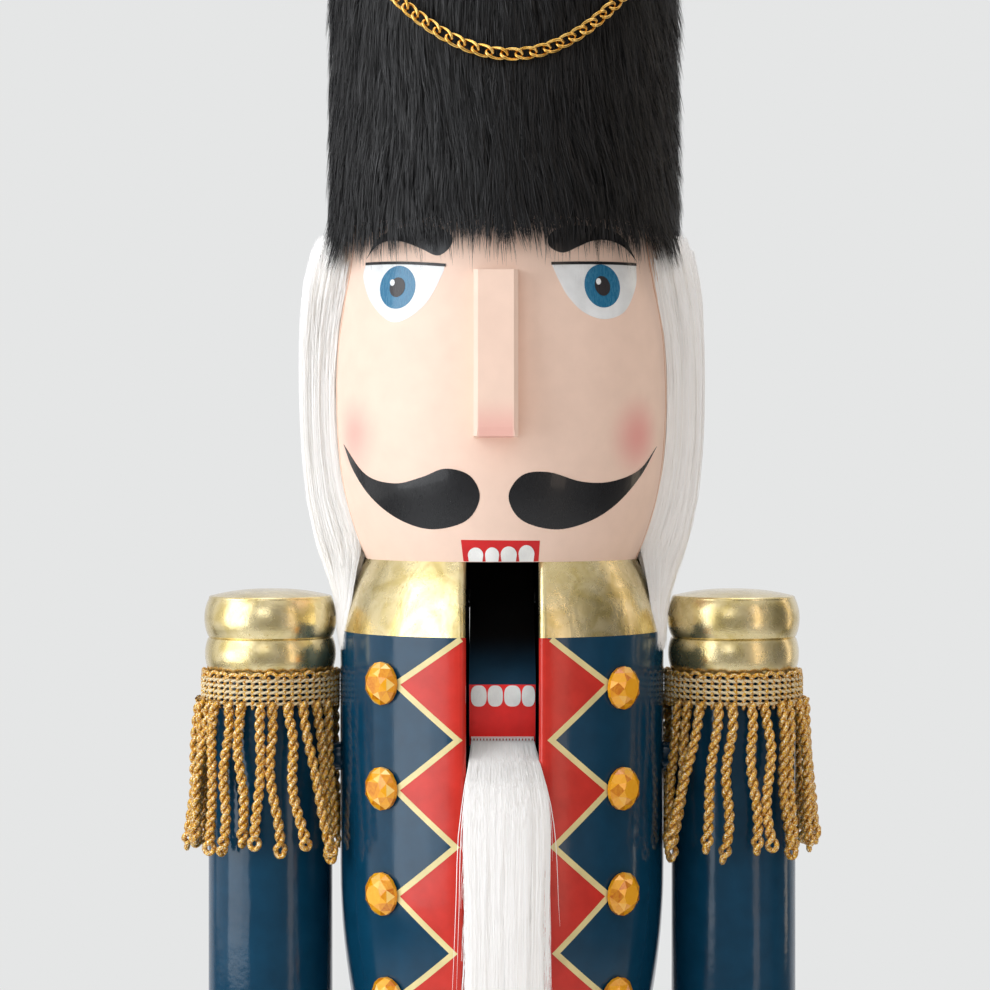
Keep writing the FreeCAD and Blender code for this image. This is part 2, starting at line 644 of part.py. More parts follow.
def cuff():
    roll = [(ARM_RADIUS + 2.0, (WRIST + CUFF_TOP) / 2), (ARM_RADIUS - 1.0, CUFF_TOP)]
    profile = [(ARM_RADIUS - 2.0, WRIST), roll, (0, CUFF_TOP)]
    return drill(turned((0, WRIST), profile, (ARM_X, 0)), wrist_dowels(FIT_GAP))


def hand():
    """A closed mitten hand: a turned fist with a thumb laid along the front of it."""
    fist = turned((0, HAND_BOTTOM), [[(15.0, HAND_BOTTOM + 2.5), (21.5, HAND_BOTTOM + 14.0),
                                      (22.0, HAND_BOTTOM + 27.0), (19.5, WRIST)], (0, WRIST)])
    thumb = rod(6.0, (-9.0, -18.0, HAND_BOTTOM + 14.0), (-5.0, -15.0, WRIST - 10.0))
    thumb = thumb.fuse(Part.makeSphere(6.0, Vector(-9.0, -18.0, HAND_BOTTOM + 14.0)))
    thumb = thumb.fuse(Part.makeSphere(6.0, Vector(-5.0, -15.0, WRIST - 10.0)))
    shape = fist.fuse(thumb)
    shape.translate(Vector(ARM_X, 0, 0))
    return drill(shape, wrist_dowels(FIT_GAP))


def epaulette():
    """The gold shoulder piece: two rolls with a fine groove between them and a low domed top."""
    groove = 550.4
    edge = 566.6
    profile = [(25.9, ARM_TOP), [(27.5, ARM_TOP + 6.5), (26.3, groove - 0.5)], (25.7, groove),
               (26.3, groove + 0.5), [(27.8, groove + 8.0), (25.9, edge)],
               [(25.5, edge + 0.9), (24.6, edge + 1.2)], [(13.0, edge + 3.3), (2.0, edge + 3.8)],
               (0, edge + 3.8)]
    return drill(turned((0, ARM_TOP), profile, (ARM_X, 0)), epaulette_dowels(FIT_GAP))


def fringe_tape():
    inner, outer = ARM_RADIUS + FIT_GAP, ARM_RADIUS + 2.2
    low, high = TAPE_BOTTOM, TAPE_BOTTOM + TAPE_HEIGHT - 1.0
    tape = turned((inner, low), [(outer, low), (outer, high), (inner, high)], (ARM_X, 0))
    return tape


def fringe():
    """The hanging cords as one soft flared skirt, held clear of the chest."""
    inner, top_outer, low_outer = ARM_RADIUS + 0.4, ARM_RADIUS + 3.4, ARM_RADIUS + 8.0
    low, high = FRINGE_BOTTOM, TAPE_BOTTOM - 0.1
    skirt = turned((inner, low), [(low_outer, low), (top_outer, high), (inner, high)], (ARM_X, 0))
    chest = Part.makeCylinder(TORSO_RADIUS + 0.6, 120.0, Vector(0, 0, low - 10.0))
    pegs = arm_dowels(0.5)
    return drill(skirt.cut(chest), pegs)


# ---- the pieces ---------------------------------------------------------------------------------
SINGLE_PIECES = {
    "base_felt_pad": base_felt_pad, "base_plinth": base_plinth, "base_step": base_step,
    "base_screws": base_screws, "leg_dowels": leg_dowels, "coat_skirt": coat_skirt, "belt": belt,
    "belt_buckle": belt_buckle, "waist_dowels": waist_dowels, "torso": torso, "gem_buttons": gem_buttons,
    "jaw_lever": jaw_lever, "jaw_pin": jaw_pin, "beard_hem": beard_hem, "beard": beard,
    "neck_dowels": neck_dowels, "head": head, "nose": nose, "hat_tube": hat_tube,
    "hat_top_disc": hat_top_disc, "hat_fur": hat_fur, "hat_chain": hat_chain, "chain_pins": chain_pins,
    "hair_wig": hair_wig, "arm_dowels": arm_dowels, "wrist_dowels": wrist_dowels,
    "epaulette_dowels": epaulette_dowels,
}
PAIRED_PIECES = {
    "sole": sole, "toe_cap": toe_cap, "boot": boot, "boot_cuff": boot_cuff, "leg": leg, "arm": arm,
    "cuff": cuff, "hand": hand, "epaulette": epaulette, "fringe_tape": fringe_tape, "fringe": fringe,
}


def export(name, shape):
    """Writes one piece, or a group of separate solids, as parts/NAME.step."""
    if isinstance(shape, list):
        shape = Part.makeCompound(shape)
    bad = [s for s in shape.Solids if not s.isValid() or s.Volume <= 0]
    if bad or not shape.Solids:
        raise ValueError(f"{name}: {len(shape.Solids)} solids, {len(bad)} of them not sound")
    if len(shape.Solids) == 1:
        shape = shape.Solids[0]
    shape.exportStep(f"parts/{name}.step")


def main():
    os.makedirs("parts", exist_ok=True)
    for name, make in SINGLE_PIECES.items():
        export(name, make())
    for name, make in PAIRED_PIECES.items():
        for label, side in SIDES.items():
            export(f"{label}_{name}", mirrored(make(), side))


main()
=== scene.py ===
"""The looks of the nutcracker figure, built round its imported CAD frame.

Everything is in metres in the frame's own axes: +Z up, the figure faces -Y, and its left is +X. Sizes below
are in millimetres, noise and relief too, and MM turns them into metres. Heights on the face and the jaw are
counted from the chin. Colours are sRGB, 0 to 255.
"""

import math
from functools import partialmethod

import bpy
import numpy as np
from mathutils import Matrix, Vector
from mathutils.bvhtree import BVHTree
from mathutils.geometry import delaunay_2d_cdt


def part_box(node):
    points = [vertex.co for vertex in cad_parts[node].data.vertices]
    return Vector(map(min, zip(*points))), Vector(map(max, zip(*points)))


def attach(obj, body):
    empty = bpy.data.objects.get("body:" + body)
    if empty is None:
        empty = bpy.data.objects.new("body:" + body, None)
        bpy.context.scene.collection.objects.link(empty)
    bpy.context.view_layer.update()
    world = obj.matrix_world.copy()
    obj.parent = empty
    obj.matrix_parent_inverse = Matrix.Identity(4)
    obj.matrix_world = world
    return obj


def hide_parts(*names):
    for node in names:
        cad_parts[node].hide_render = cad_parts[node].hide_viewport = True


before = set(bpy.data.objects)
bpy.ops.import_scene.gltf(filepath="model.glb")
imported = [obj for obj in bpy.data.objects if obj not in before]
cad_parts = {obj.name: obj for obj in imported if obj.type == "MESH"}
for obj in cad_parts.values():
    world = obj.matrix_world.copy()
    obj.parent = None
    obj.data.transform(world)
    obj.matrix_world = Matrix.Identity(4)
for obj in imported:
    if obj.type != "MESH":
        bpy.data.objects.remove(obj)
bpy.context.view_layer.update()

MM = 0.001


def low(node):
    return Vector(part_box(node)[0]) / MM


def high(node):
    return Vector(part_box(node)[1]) / MM


# ---- driving sizes, in millimetres -----------------------------------------------------------------------
CHIN = low("head").z
COLLAR_BOTTOM = CHIN - 29.8
TORSO_BOTTOM = low("torso").z
SLOT_HALF = 14.4
SLOT_ROUND = 2.4
ARM_X = (low("left_arm").x + high("left_arm").x) / 2
ARM_RADIUS = (high("left_arm").x - low("left_arm").x) / 2
CHEST_RADIUS = high("torso").x
FACE_EDGE_LEFT = math.radians(77.5)     # where the hair starts, either side of the face
FACE_EDGE_RIGHT = math.radians(81.5)
EDGE_DRIFT = math.radians(8.0)          # the hair starts this much nearer the front under the hat
HAT_HEM = low("hat_fur").z
HAT_TOP = high("hat_fur").z
HAT_RADIUS = high("hat_fur").x

SKIN = (250, 218, 198)
NOSE_BLUSH = 0.55         # strength of the blush at the nose's tip
BLUSH = (241, 160, 152)
OUTLINE_BROWN = (216, 150, 108)
NAVY = (8, 58, 84)
RED = (206, 48, 36)
MOUTH_RED = (214, 22, 24)
# the mouth's red painted brighter on the jaw: painted light against the shade of the slot
JAW_RED_WITH_PAINTED_LIGHT = (250, 34, 28)
CREAM = (232, 214, 152)
INK = (22, 22, 24)
TOOTH = (246, 246, 242)
GOLD_PALE = (236, 218, 166)
GOLD_DEEP = (208, 186, 118)
GOLD_FLECK = (196, 164, 92)
THREAD_GOLD = (255, 207, 62)
THREAD_DEEP = (184, 114, 8)
FUR_BLACK = (2, 2, 3)
FUR_GLINT = (66, 66, 68)
PILE_WHITE = (255, 254, 252)
PILE_SHADE = (246, 244, 242)
BACKDROP = (229, 230, 230)

PAINT_GLOSS = 0.09        # roughness of the shiniest enamel, which rubbed patches add to
PAINT_COAT = 0.12
PAINT_SPECULAR = 0.34
LEAF_METAL = 0.92
LEAF_COAT_GLOSS = 0.15
BRUSH_STRETCH = (1, 1, 26)              # brush marks run up and down


# ---- material building -----------------------------------------------------------------------------------
def linear(colour, alpha=1.0):
    """An sRGB colour, 0 to 255, as linear RGBA."""
    channels = [c / 255 for c in colour]
    return [c / 12.92 if c <= 0.04045 else ((c + 0.055) / 1.055) ** 2.4 for c in channels] + [alpha]


class Graph:
    """A node tree under construction."""

    def __init__(self, owner):
        owner.use_nodes = True
        self.tree = owner.node_tree

    def feed(self, socket, value):
        if isinstance(value, bpy.types.NodeSocket):
            self.tree.links.new(value, socket)
        elif isinstance(value, tuple) and socket.type == "RGBA":
            socket.default_value = linear(value)
        else:
            socket.default_value = value

    def node(self, kind, *values, output=0, **properties):
        """A node with its first inputs fed in order. None leaves an input as it is."""
        made = self.tree.nodes.new(kind)
        for name, value in properties.items():
            setattr(made, name, value)
        for socket, value in zip(made.inputs, values):
            if value is not None:
                self.feed(socket, value)
        return made.outputs[output]

    def math(self, operation, *values):
        return self.node("ShaderNodeMath", *values, operation=operation)

    times = partialmethod(math, "MULTIPLY")
    plus = partialmethod(math, "ADD")
    minus = partialmethod(math, "SUBTRACT")
    size = partialmethod(math, "ABSOLUTE")
    above = partialmethod(math, "GREATER_THAN")
    below = partialmethod(math, "LESS_THAN")
    larger = partialmethod(math, "MAXIMUM")

    def split(self, vector):
        """The three components of a vector."""
        made = self.tree.nodes.new("ShaderNodeSeparateXYZ")
        self.feed(made.inputs[0], vector)
        return made.outputs

    def mix(self, factor, first, second, blend="MIX"):
        made = self.tree.nodes.new("ShaderNodeMix")
        made.data_type, made.blend_type = "RGBA", blend
        for socket, value in zip([made.inputs[0], made.inputs[6], made.inputs[7]], [factor, first, second]):
            self.feed(socket, value)
        return made.outputs[2]

    def range(self, value, start, end, low_out=0.0, high_out=1.0, smooth=False):
        kind = "SMOOTHSTEP" if smooth else "LINEAR"
        return self.node("ShaderNodeMapRange", value, start, end, low_out, high_out, interpolation_type=kind)

    def inside(self, value, low_edge, high_edge):
        """1 where value lies between the edges, else 0."""
        return self.times(self.above(value, low_edge), self.below(value, high_edge))


class Look(Graph):
    """A node material under construction. Positions come from object space, in metres."""

    def __init__(self, name, **settings):
        self.material = bpy.data.materials.new(name)
        super().__init__(self.material)
        self.surface = self.tree.nodes["Principled BSDF"]
        self.position = self.node("ShaderNodeTexCoord", output="Object")
        self.set(**settings)

    def set(self, **settings):
        """Principled inputs by name, with spaces written as underscores."""
        for name, value in settings.items():
            self.feed(self.surface.inputs[name.replace("_", " ")], value)

    def axes(self):
        """The object-space x, y and z, in millimetres."""
        return [self.times(component, 1 / MM) for component in self.split(self.position)]

    def noise(self, size, detail=2.0, stretch=(1, 1, 1), roughness=0.5, distortion=0.0):
        """Noise from 0 to 1 whose blobs are about size millimetres, times stretch along each axis."""
        scale = [1 / (MM * size * s) for s in stretch]
        place = self.node("ShaderNodeMapping", self.position, None, None, scale)
        made = self.tree.nodes.new("ShaderNodeTexNoise")
        self.feed(made.inputs["Vector"], place)
        for name, value in (("Scale", 1.0), ("Detail", detail), ("Roughness", roughness),
                            ("Distortion", distortion)):
            made.inputs[name].default_value = value
        return made.outputs[0]

    def attribute(self, name):
        return self.node("ShaderNodeAttribute", attribute_name=name, output="Fac")

    def bump(self, *layers):
        """Chained bumps, each (height socket, depth in millimetres)."""
        normal = None
        for height, depth in layers:
            made = self.tree.nodes.new("ShaderNodeBump")
            made.inputs["Strength"].default_value = 1.0
            made.inputs["Distance"].default_value = depth * MM
            self.feed(made.inputs["Height"], height)
            if normal:
                self.tree.links.new(normal, made.inputs["Normal"])
            normal = made.outputs["Normal"]
        self.set(Normal=normal)


def worn(look, colour, amount=0.035):
    """A paint colour with faint cloudy patches."""
    shade = tuple(c * (1 - amount * 1.6) for c in colour)
    light = tuple(min(255, c * (1 + amount * 0.5) + 3) for c in colour)
    return look.mix(look.range(look.noise(9, 4), 0.3, 0.7), shade, light)


def paint_surface(look, gloss=PAINT_GLOSS, coat=PAINT_COAT):
    """The skin of brushed enamel: faint brush lines, fine orange peel, and rubbed patches that shine less."""
    brush = look.noise(0.7, 3, stretch=BRUSH_STRETCH)
    peel = look.noise(1.6, 2)
    cloud = look.noise(14, 3)
    look.bump((brush, 0.012), (peel, 0.02), (cloud, 0.25))
    look.set(Roughness=look.range(look.plus(cloud, brush), 0.6, 1.4, gloss, gloss + 0.09),
             Coat_Weight=coat, Coat_Roughness=0.06, Specular_IOR_Level=PAINT_SPECULAR)
    return look


def enamel(name, colour, gloss=PAINT_GLOSS, coat=PAINT_COAT):
    look = Look(name)
    look.set(Base_Color=worn(look, colour))
    return paint_surface(look, gloss, coat).material


def gold_leaf_colour(look):
    patches = look.noise(11, 5, distortion=0.8)
    flecks = look.noise(1.2, 4)
    tone = look.mix(look.range(patches, 0.34, 0.62), GOLD_DEEP, GOLD_PALE)
    return look.mix(look.range(flecks, 0.64, 0.76), tone, GOLD_FLECK)


def leaf_relief(look):
    """Wrinkles of leaf laid over wood: long soft waves, sharp little creases and burnish lines."""
    waves = look.noise(16, 3, stretch=(1, 1, 1.6), distortion=1.2)
    creases = look.size(look.minus(look.noise(7, 5, distortion=1.6), 0.5))
    burnish = look.noise(0.5, 2, stretch=(30, 30, 1))
    return [(waves, 0.3), (look.range(creases, 0.0, 0.05), 0.016), (burnish, 0.008)]


def gold_leaf(name, rings=False):
    """Burnished gold leaf; rings adds the lathe marks that show through it on the turned rolls."""
    look = Look(name, Metallic=LEAF_METAL)
    look.set(Base_Color=gold_leaf_colour(look))
    relief = leaf_relief(look)
    if rings:
        relief[0] = (relief[0][0], 0.1)
        relief.append((look.noise(0.9, 3, stretch=(60, 60, 1)), 0.03))
    look.bump(*relief)
    look.set(Roughness=look.range(look.noise(6, 4), 0.3, 0.7, 0.22, 0.32), Coat_Weight=0.8,
             Coat_Roughness=LEAF_COAT_GLOSS)
    return look.material


def skin_look(name, blushes, blush_radius=16.0):
    """Flesh-coloured satin paint with soft round blushes at the given points."""
    look = Look(name)
    colour = worn(look, SKIN, 0.005)
    for centre, depth in blushes:
        gap = look.node("ShaderNodeVectorMath", look.position, [c * MM for c in centre], operation="DISTANCE",
                        output="Value")
        strength = look.range(gap, blush_radius * MM, 0.0, 0.0, depth, smooth=True)
        colour = look.mix(strength, colour, BLUSH)
    return look, colour


def finish_skin(look, colour):
    look.set(Base_Color=colour)
    brush = look.noise(0.8, 3, stretch=(1, 1, 30))
    look.bump((brush, 0.02), (look.noise(2.2, 2), 0.02))
    look.set(Roughness=look.range(brush, 0.3, 0.7, 0.42, 0.54), Specular_IOR_Level=0.4)
    return look.material


def head_look():
    cheek_height = CHIN + 51.5
    look, colour = skin_look("skin_head", [((-60.5, -35.0, cheek_height), 0.6),
                                           ((55.0, -43.0, cheek_height - 1), 0.85)], 20.0)
    x, y, z = look.axes()
    azimuth = look.math("ARCTAN2", x, look.times(y, -1))
    wander = look.range(look.noise(12, 2), 0.3, 0.7, -0.008, 0.008)
    drift = look.range(z, CHIN + 80, CHIN + 125, 0.0, EDGE_DRIFT, smooth=True)
    for edge, sign in ((FACE_EDGE_LEFT, 1), (FACE_EDGE_RIGHT, -1)):
        place = look.plus(look.times(azimuth, sign), look.plus(wander, drift))
        line = look.inside(place, edge - 0.052, edge - 0.034)
        colour = look.mix(look.times(line, 0.85), colour, OUTLINE_BROWN)
    return finish_skin(look, colour)


def nose_look():
    look, colour = skin_look("skin_nose", [])
    x, _, z = look.axes()
    tip = look.range(z, low("nose").z + 17, low("nose").z + 2, 0.0, NOSE_BLUSH, smooth=True)
    middle, half = (low("nose").x + high("nose").x) / 2, (high("nose").x - low("nose").x) / 2
    aside = look.size(look.minus(x, middle))
    front = look.range(aside, half - 1.2, half - 2.4, 0.1, 1.0)
    return finish_skin(look, look.mix(look.times(tip, front), colour, BLUSH))


def torso_look():
    """Navy coat, gold collar, red lapel edges beside the slot, and a dark slot, painted near black as the
    shade deep inside it.
    """
    look = Look("coat_and_collar")
    x, y, z = look.axes()
    side = look.size(x)
    collar = look.above(z, COLLAR_BOTTOM)
    edging = look.times(look.below(side, SLOT_HALF + SLOT_ROUND + 1.2),
                       look.below(y, -40.0))
    slot = look.below(side, SLOT_HALF + 0.06)
    colour = look.mix(edging, worn(look, NAVY), worn(look, RED))
    colour = look.mix(collar, colour, gold_leaf_colour(look))
    # painted shade: the walls of the slot are painted near black
    colour = look.mix(slot, colour, (7, 9, 13))
    plain = look.minus(1.0, slot)
    metal = look.times(look.times(collar, plain), LEAF_METAL)
    cloud = look.noise(14, 3)
    paint_gloss = look.range(cloud, 0.3, 0.7, 0.08, 0.17)
    leaf_gloss = look.range(look.noise(6, 4), 0.3, 0.7, 0.24, 0.34)
    gloss = look.node("ShaderNodeMix", metal, None, paint_gloss, leaf_gloss)
    gloss = look.larger(gloss, look.times(slot, 0.9))
    relief = [(look.times(height, collar), depth) for height, depth in leaf_relief(look)]
    look.bump(*relief, (look.noise(1.6, 2), 0.015), (look.noise(0.7, 3, stretch=BRUSH_STRETCH), 0.012))
    coat = look.plus(look.times(plain, 0.1), look.times(metal, 0.7))
    look.set(Base_Color=colour, Metallic=metal, Roughness=gloss, Coat_Weight=coat,
             Specular_IOR_Level=look.times(plain, PAINT_SPECULAR), Coat_Roughness=LEAF_COAT_GLOSS)
    return look.material


def lever_look():
    """Navy just above the teeth, running into black towards the top and the rear: painted shade where the
    lever lies deep in the slot.
    """
    look = Look("lever_paint")
    _, y, z = look.axes()
    up = look.range(z, CHIN - 46, CHIN - 30, 0.0, 1.0, smooth=True)
    back = look.range(y, -45, -25, 0.0, 1.0, smooth=True)
    # painted shade: black towards the top and the rear, deep in the slot
    dark = look.larger(up, back)
    look.set(Base_Color=look.mix(dark, worn(look, NAVY), (4, 5, 7)))
    return paint_surface(look, 0.55, 0.0).material


def arm_look():
    """Navy sleeve with a red cuff band edged by a cream line."""
    look = Look("sleeve")
    _, _, z = look.axes()
    cuff = low("left_arm").z
    colour = look.mix(look.below(z, cuff + 20), worn(look, NAVY), worn(look, RED))
    colour = look.mix(look.inside(z, cuff + 19, cuff + 21.4), colour, CREAM)
    look.set(Base_Color=colour)
    return paint_surface(look, 0.09, 0.05).material


def skirt_look():
    look = Look("coat_skirt_paint")
    _, _, z = look.axes()
    hem = low("coat_skirt").z
    colour = look.mix(look.inside(z, hem + 6.5, hem + 9.0), worn(look, NAVY), CREAM)
    look.set(Base_Color=look.mix(look.below(z, hem + 6.5), colour, worn(look, RED)))
    return paint_surface(look).material


def leg_look():
    """White trousers with a red stripe down the outside, edged in cream."""
    look = Look("trousers")
    x, y, _ = look.axes()
    outside = look.above(look.size(x), 36.0)
    across = look.size(y)
    cream = look.times(outside, look.below(across, 6.4))
    red = look.times(outside, look.below(across, 4.6))
    colour = look.mix(cream, worn(look, (240, 238, 230), 0.03), CREAM)
    look.set(Base_Color=look.mix(red, colour, worn(look, RED)))
    return paint_surface(look, 0.2, 0.4).material


def base_look(name, colour, line_low, line_high):
    """Base enamel with a gold line round its edge."""
    look = Look(name)
    _, _, z = look.axes()
    line = look.inside(z, line_low, line_high)
    look.set(Base_Color=look.mix(line, worn(look, colour), GOLD_PALE),
             Metallic=look.times(line, 0.85))
    return paint_surface(look).material


def wood(name):
    look = Look(name, Roughness=0.62)
    grain = look.noise(1.1, 5, stretch=(1, 1, 14), distortion=0.6)
    look.set(Base_Color=look.mix(grain, (178, 132, 84), (226, 188, 138)))
    look.bump((grain, 0.06))
    return look.material


def metal(name, light, dark, roughness):
    look = Look(name, Metallic=1.0)
    patina = look.noise(2.4, 4)
    look.set(Base_Color=look.mix(look.range(patina, 0.35, 0.7), dark, light),
             Roughness=look.range(patina, 0.3, 0.7, roughness, roughness + 0.15))
    look.bump((look.noise(0.25, 2, stretch=(1, 1, 5)), 0.01))
    return look.material


def fabric(name, light, dark, size=0.5, relief=0.15):
    look = Look(name, Roughness=0.95, Sheen_Weight=0.4)
    fibre = look.noise(size, 5, distortion=0.7)
    look.set(Base_Color=look.mix(look.range(fibre, 0.3, 0.7), dark, light))
    look.bump((fibre, relief))
    return look.material


def gem_look():
    """Foil-backed amber. Each facet's tone, drawn at random from the way it faces, is painted light that
    stands in for the light the foil throws back; the few pale facets are painted glints.
    """
    look = Look("amber_gem", Roughness=0.08, Coat_Weight=0.6, Coat_Roughness=0.02)
    facing = look.node("ShaderNodeNewGeometry", output="True Normal")
    coarse = look.node("ShaderNodeVectorMath", facing, (7.0, 7.0, 7.0), operation="MULTIPLY")
    whole = look.node("ShaderNodeVectorMath", coarse, operation="FLOOR")
    draw = look.node("ShaderNodeTexWhiteNoise", whole)
    # painted light: a tone for each facet, and pale painted glints on a few
    colour = look.mix(look.range(draw, 0.05, 0.6), (204, 104, 0), (255, 174, 10))
    colour = look.mix(look.range(draw, 0.9, 0.95), colour, (255, 216, 130))
    swirl = look.noise(3.0, 3, distortion=2.0)
    cloudy = look.mix(look.range(swirl, 0.35, 0.75, 0.0, 0.5), colour, (255, 190, 40))
    look.set(Base_Color=cloudy, Metallic=0.1)
    look.bump((look.noise(4.0, 2), 0.05))
    return look.material


def pile_look(name, dark, light, roughness, root=0.55, glow=0.0, bloom=0.0):
    """Hair or fur: every strand has its own tone, and roots lie in shade, painted darker. A strand is lit the
    same on both faces. glow is the share of light that passes through it, and bloom its downy sheen and a
    faint painted glow that stands in for the light scattered among white fibres."""
    look = Look(name, Roughness=roughness)
    tone = look.mix(look.attribute("tone"), dark, light)
    along = look.range(look.attribute("along"), 0.0, 0.5, root, 1.0)
    shaded = look.node("ShaderNodeVectorMath", tone, None, None, along, operation="SCALE")
    # painted glow: emission stands in for the light scattered among the fibres; along paints the roots darker
    # as shade
    look.set(Base_Color=shaded, Specular_IOR_Level=0.4, Sheen_Weight=bloom, Sheen_Roughness=0.6,
             Emission_Color=shaded, Emission_Strength=0.08 * bloom)
    look.bump((look.noise(0.3, 2, stretch=(1, 1, 20)), 0.03))
    through = look.node("ShaderNodeBsdfTranslucent", shaded)
    rear_face = look.node("ShaderNodeNewGeometry", output="Backfacing")
    share = look.larger(rear_face, glow)
    both = look.node("ShaderNodeMixShader", share, look.surface.outputs[0], through)
    look.feed(look.tree.nodes["Material Output"].inputs["Surface"], both)
    return look.material


def thread_look(name, light, dark, metallic):
    """Twisted metallic thread: fine lay lines from the tube's own phase, with sparkling turns that are
    painted glints, lighter and at their peaks near white.
    """
    look = Look(name, Metallic=metallic)
    lay = look.math("SINE", look.attribute("phase"))
    spark = look.noise(0.55, 2, roughness=0.7)
    # painted highlights: the spark noise paints the thread lighter, and near white at its peaks
    tone = look.plus(look.times(lay, 0.25), look.range(spark, 0.38, 0.62))
    colour = look.mix(look.range(tone, 0.0, 1.1), dark, light)
    look.set(Base_Color=look.mix(look.range(spark, 0.55, 0.6), colour, (255, 248, 222)),
             Roughness=look.range(spark, 0.5, 0.62, 0.42, 0.14))
    look.bump((lay, 0.12), (spark, 0.16))
    return look.material


def pile_base():
    """The woven backing and packed underpile, seen only in the partings. Its inner face is painted black
    where the chest's slot looks through onto it, as painted shade."""
    look = Look("pile_underlayer", Roughness=0.9, Sheen_Weight=0.3)
    streaks = look.noise(0.9, 4, stretch=(1, 1, 26))
    x, y, _ = look.axes()
    normal_x, normal_y, _ = look.split(look.node("ShaderNodeNewGeometry", output="True Normal"))
    outward = look.plus(look.times(x, normal_x), look.times(y, normal_y))
    behind_slot = look.times(look.above(y, 40.0), look.inside(x, -20.0, 20.0))
    # painted shade: black on the inner face where the chest's slot looks through
    backing = look.times(look.below(outward, 0.0), behind_slot)
    look.set(Base_Color=look.mix(backing, look.mix(streaks, (232, 231, 230), (250, 250, 249)), (6, 6, 7)))
    look.bump((streaks, 0.5))
    return look.material


def hem_look():
    """The beard's hem: white binding with a row of stitch holes that the jaw's red shows through."""
    look = Look("hem_stitching", Roughness=0.85)
    x, _, z = look.axes()
    middle = (low("beard_hem").z + high("beard_hem").z) / 2
    along = look.math("SINE", look.times(x, 2 * math.pi / 1.3))
    hole = look.times(look.above(along, 0.45),
                     look.inside(z, middle - 0.2, middle + 0.6))
    weave = look.noise(0.4, 3)
    look.set(Base_Color=look.mix(hole, look.mix(weave, (226, 220, 218), (252, 250, 248)), (188, 40, 36)))
    look.bump((hole, -0.2), (weave, 0.12))
    return look.material


def iris_look():
    """Blue iris paint with faint brush lines."""
    look = Look("iris_blue", Coat_Weight=0.5, Coat_Roughness=0.08)
    streak = look.noise(0.9, 4, stretch=(1, 1, 3))
    look.set(Base_Color=look.mix(look.range(streak, 0.3, 0.7), (24, 108, 148), (34, 122, 160)),
             Roughness=look.range(streak, 0.3, 0.7, 0.2, 0.35))
    look.bump((streak, 0.02))
    return look.material


def hand_look():
    look, colour = skin_look("skin_hand", [])
    return finish_skin(look, colour)


# ---- mesh building ---------------------------------------------------------------------------------------
TINY = 1e-9
SKEW = [0.31, 0.17, 0.93]               # a direction that no cord runs along
TUFT_TABLE = 8192
PAINT_LIFT, PAINT_THICKNESS, PAINT_GRID = 0.1, 0.09, 1.6
RAY_START = -0.3                        # in metres, in front of the whole figure


def mesh_object(name, vertices, faces, material, attributes=None, normals=None):
    """A mesh from (n, 3) points in millimetres and (m, 3) or (m, 4) corners, with float point attributes and
    maybe its own normals."""
    points = np.asarray(vertices, dtype=np.float64) * MM
    corners = np.asarray(faces, dtype=np.int32)
    mesh = bpy.data.meshes.new(name)
    mesh.vertices.add(len(points))
    mesh.vertices.foreach_set("co", points.ravel())
    mesh.loops.add(corners.size)
    mesh.loops.foreach_set("vertex_index", corners.ravel())
    mesh.polygons.add(len(corners))
    mesh.polygons.foreach_set("loop_start", np.arange(0, corners.size, corners.shape[1], dtype=np.int32))
    mesh.update(calc_edges=True)
    mesh.validate()
    for label, values in (attributes or {}).items():
        attribute = mesh.attributes.new(label, "FLOAT", "POINT")
        attribute.data.foreach_set("value", np.ravel(values).astype(np.float32))
    mesh.materials.append(material)
    mesh.shade_smooth()
    if normals is not None:
        mesh.normals_split_custom_set_from_vertices(normals)
    made = bpy.data.objects.new(name, mesh)
    bpy.context.collection.objects.link(made)
    return made


def settle(piece, body, slot, *stands_for):
    """Puts a piece on its body and lets it stand for CAD nodes. The slot argument is not used."""
    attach(piece, body)
    if stands_for:
        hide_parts(*stands_for)


def ramp(value, start, end):
    """0 before start, 1 after end, straight in between."""
    return np.clip((value - start) / (end - start), 0, 1)


def unit(vectors, floor=0.0):
    """Rows of vectors made one long. floor keeps a vanishing one from dividing by zero."""
    return vectors / (np.linalg.norm(vectors, axis=-1, keepdims=True) + floor)


def squared(wave, power):
    """A sine or cosine flattened at its ends, which turns an ellipse into a rounded oblong."""
    return np.copysign(np.abs(wave) ** power, wave)


def run_length(points):
    """How far along a row of points each one lies."""
    return np.concatenate([[0], np.cumsum(np.linalg.norm(np.diff(points, axis=0), axis=1))])


def smooth_closed(points, sharp=(), steps=7):
    """A closed Catmull-Rom curve through the points. Indices in sharp stay corners."""
    count = len(points)
    pts = [np.array(p, dtype=float) for p in points]
    curve = []
    for i in range(count):
        p1, p2 = pts[i], pts[(i + 1) % count]
        p0 = 2 * p1 - p2 if i in sharp else pts[i - 1]
        p3 = 2 * p2 - p1 if (i + 1) % count in sharp else pts[(i + 2) % count]
        for t in np.arange(steps) / steps:
            curve.append(0.5 * (2 * p1 + (p2 - p0) * t + (2 * p0 - 5 * p1 + 4 * p2 - p3) * t ** 2
                                + (3 * p1 - p0 - 3 * p2 + p3) * t ** 3))
    return curve


def subdivided(points, longest=PAINT_GRID):
    """A closed polygon with its sides cut into short steps."""
    result = []
    for a, b in zip(points, list(points[1:]) + [points[0]]):
        a, b = np.array(a, dtype=float), np.array(b, dtype=float)
        steps = max(1, math.ceil(np.linalg.norm(b - a) / longest))
        result += [a + (b - a) * i / steps for i in range(steps)]
    return result


def ellipse(centre, half_width, half_height, tilt=0.0, steps=40):
    lean = math.radians(tilt)
    points = []
    for i in range(steps):
        a = 2 * math.pi * i / steps
        u, v = half_width * math.cos(a), half_height * math.sin(a)
        points.append((centre[0] + u * math.cos(lean) - v * math.sin(lean),
                       centre[1] + u * math.sin(lean) + v * math.cos(lean)))
    return points


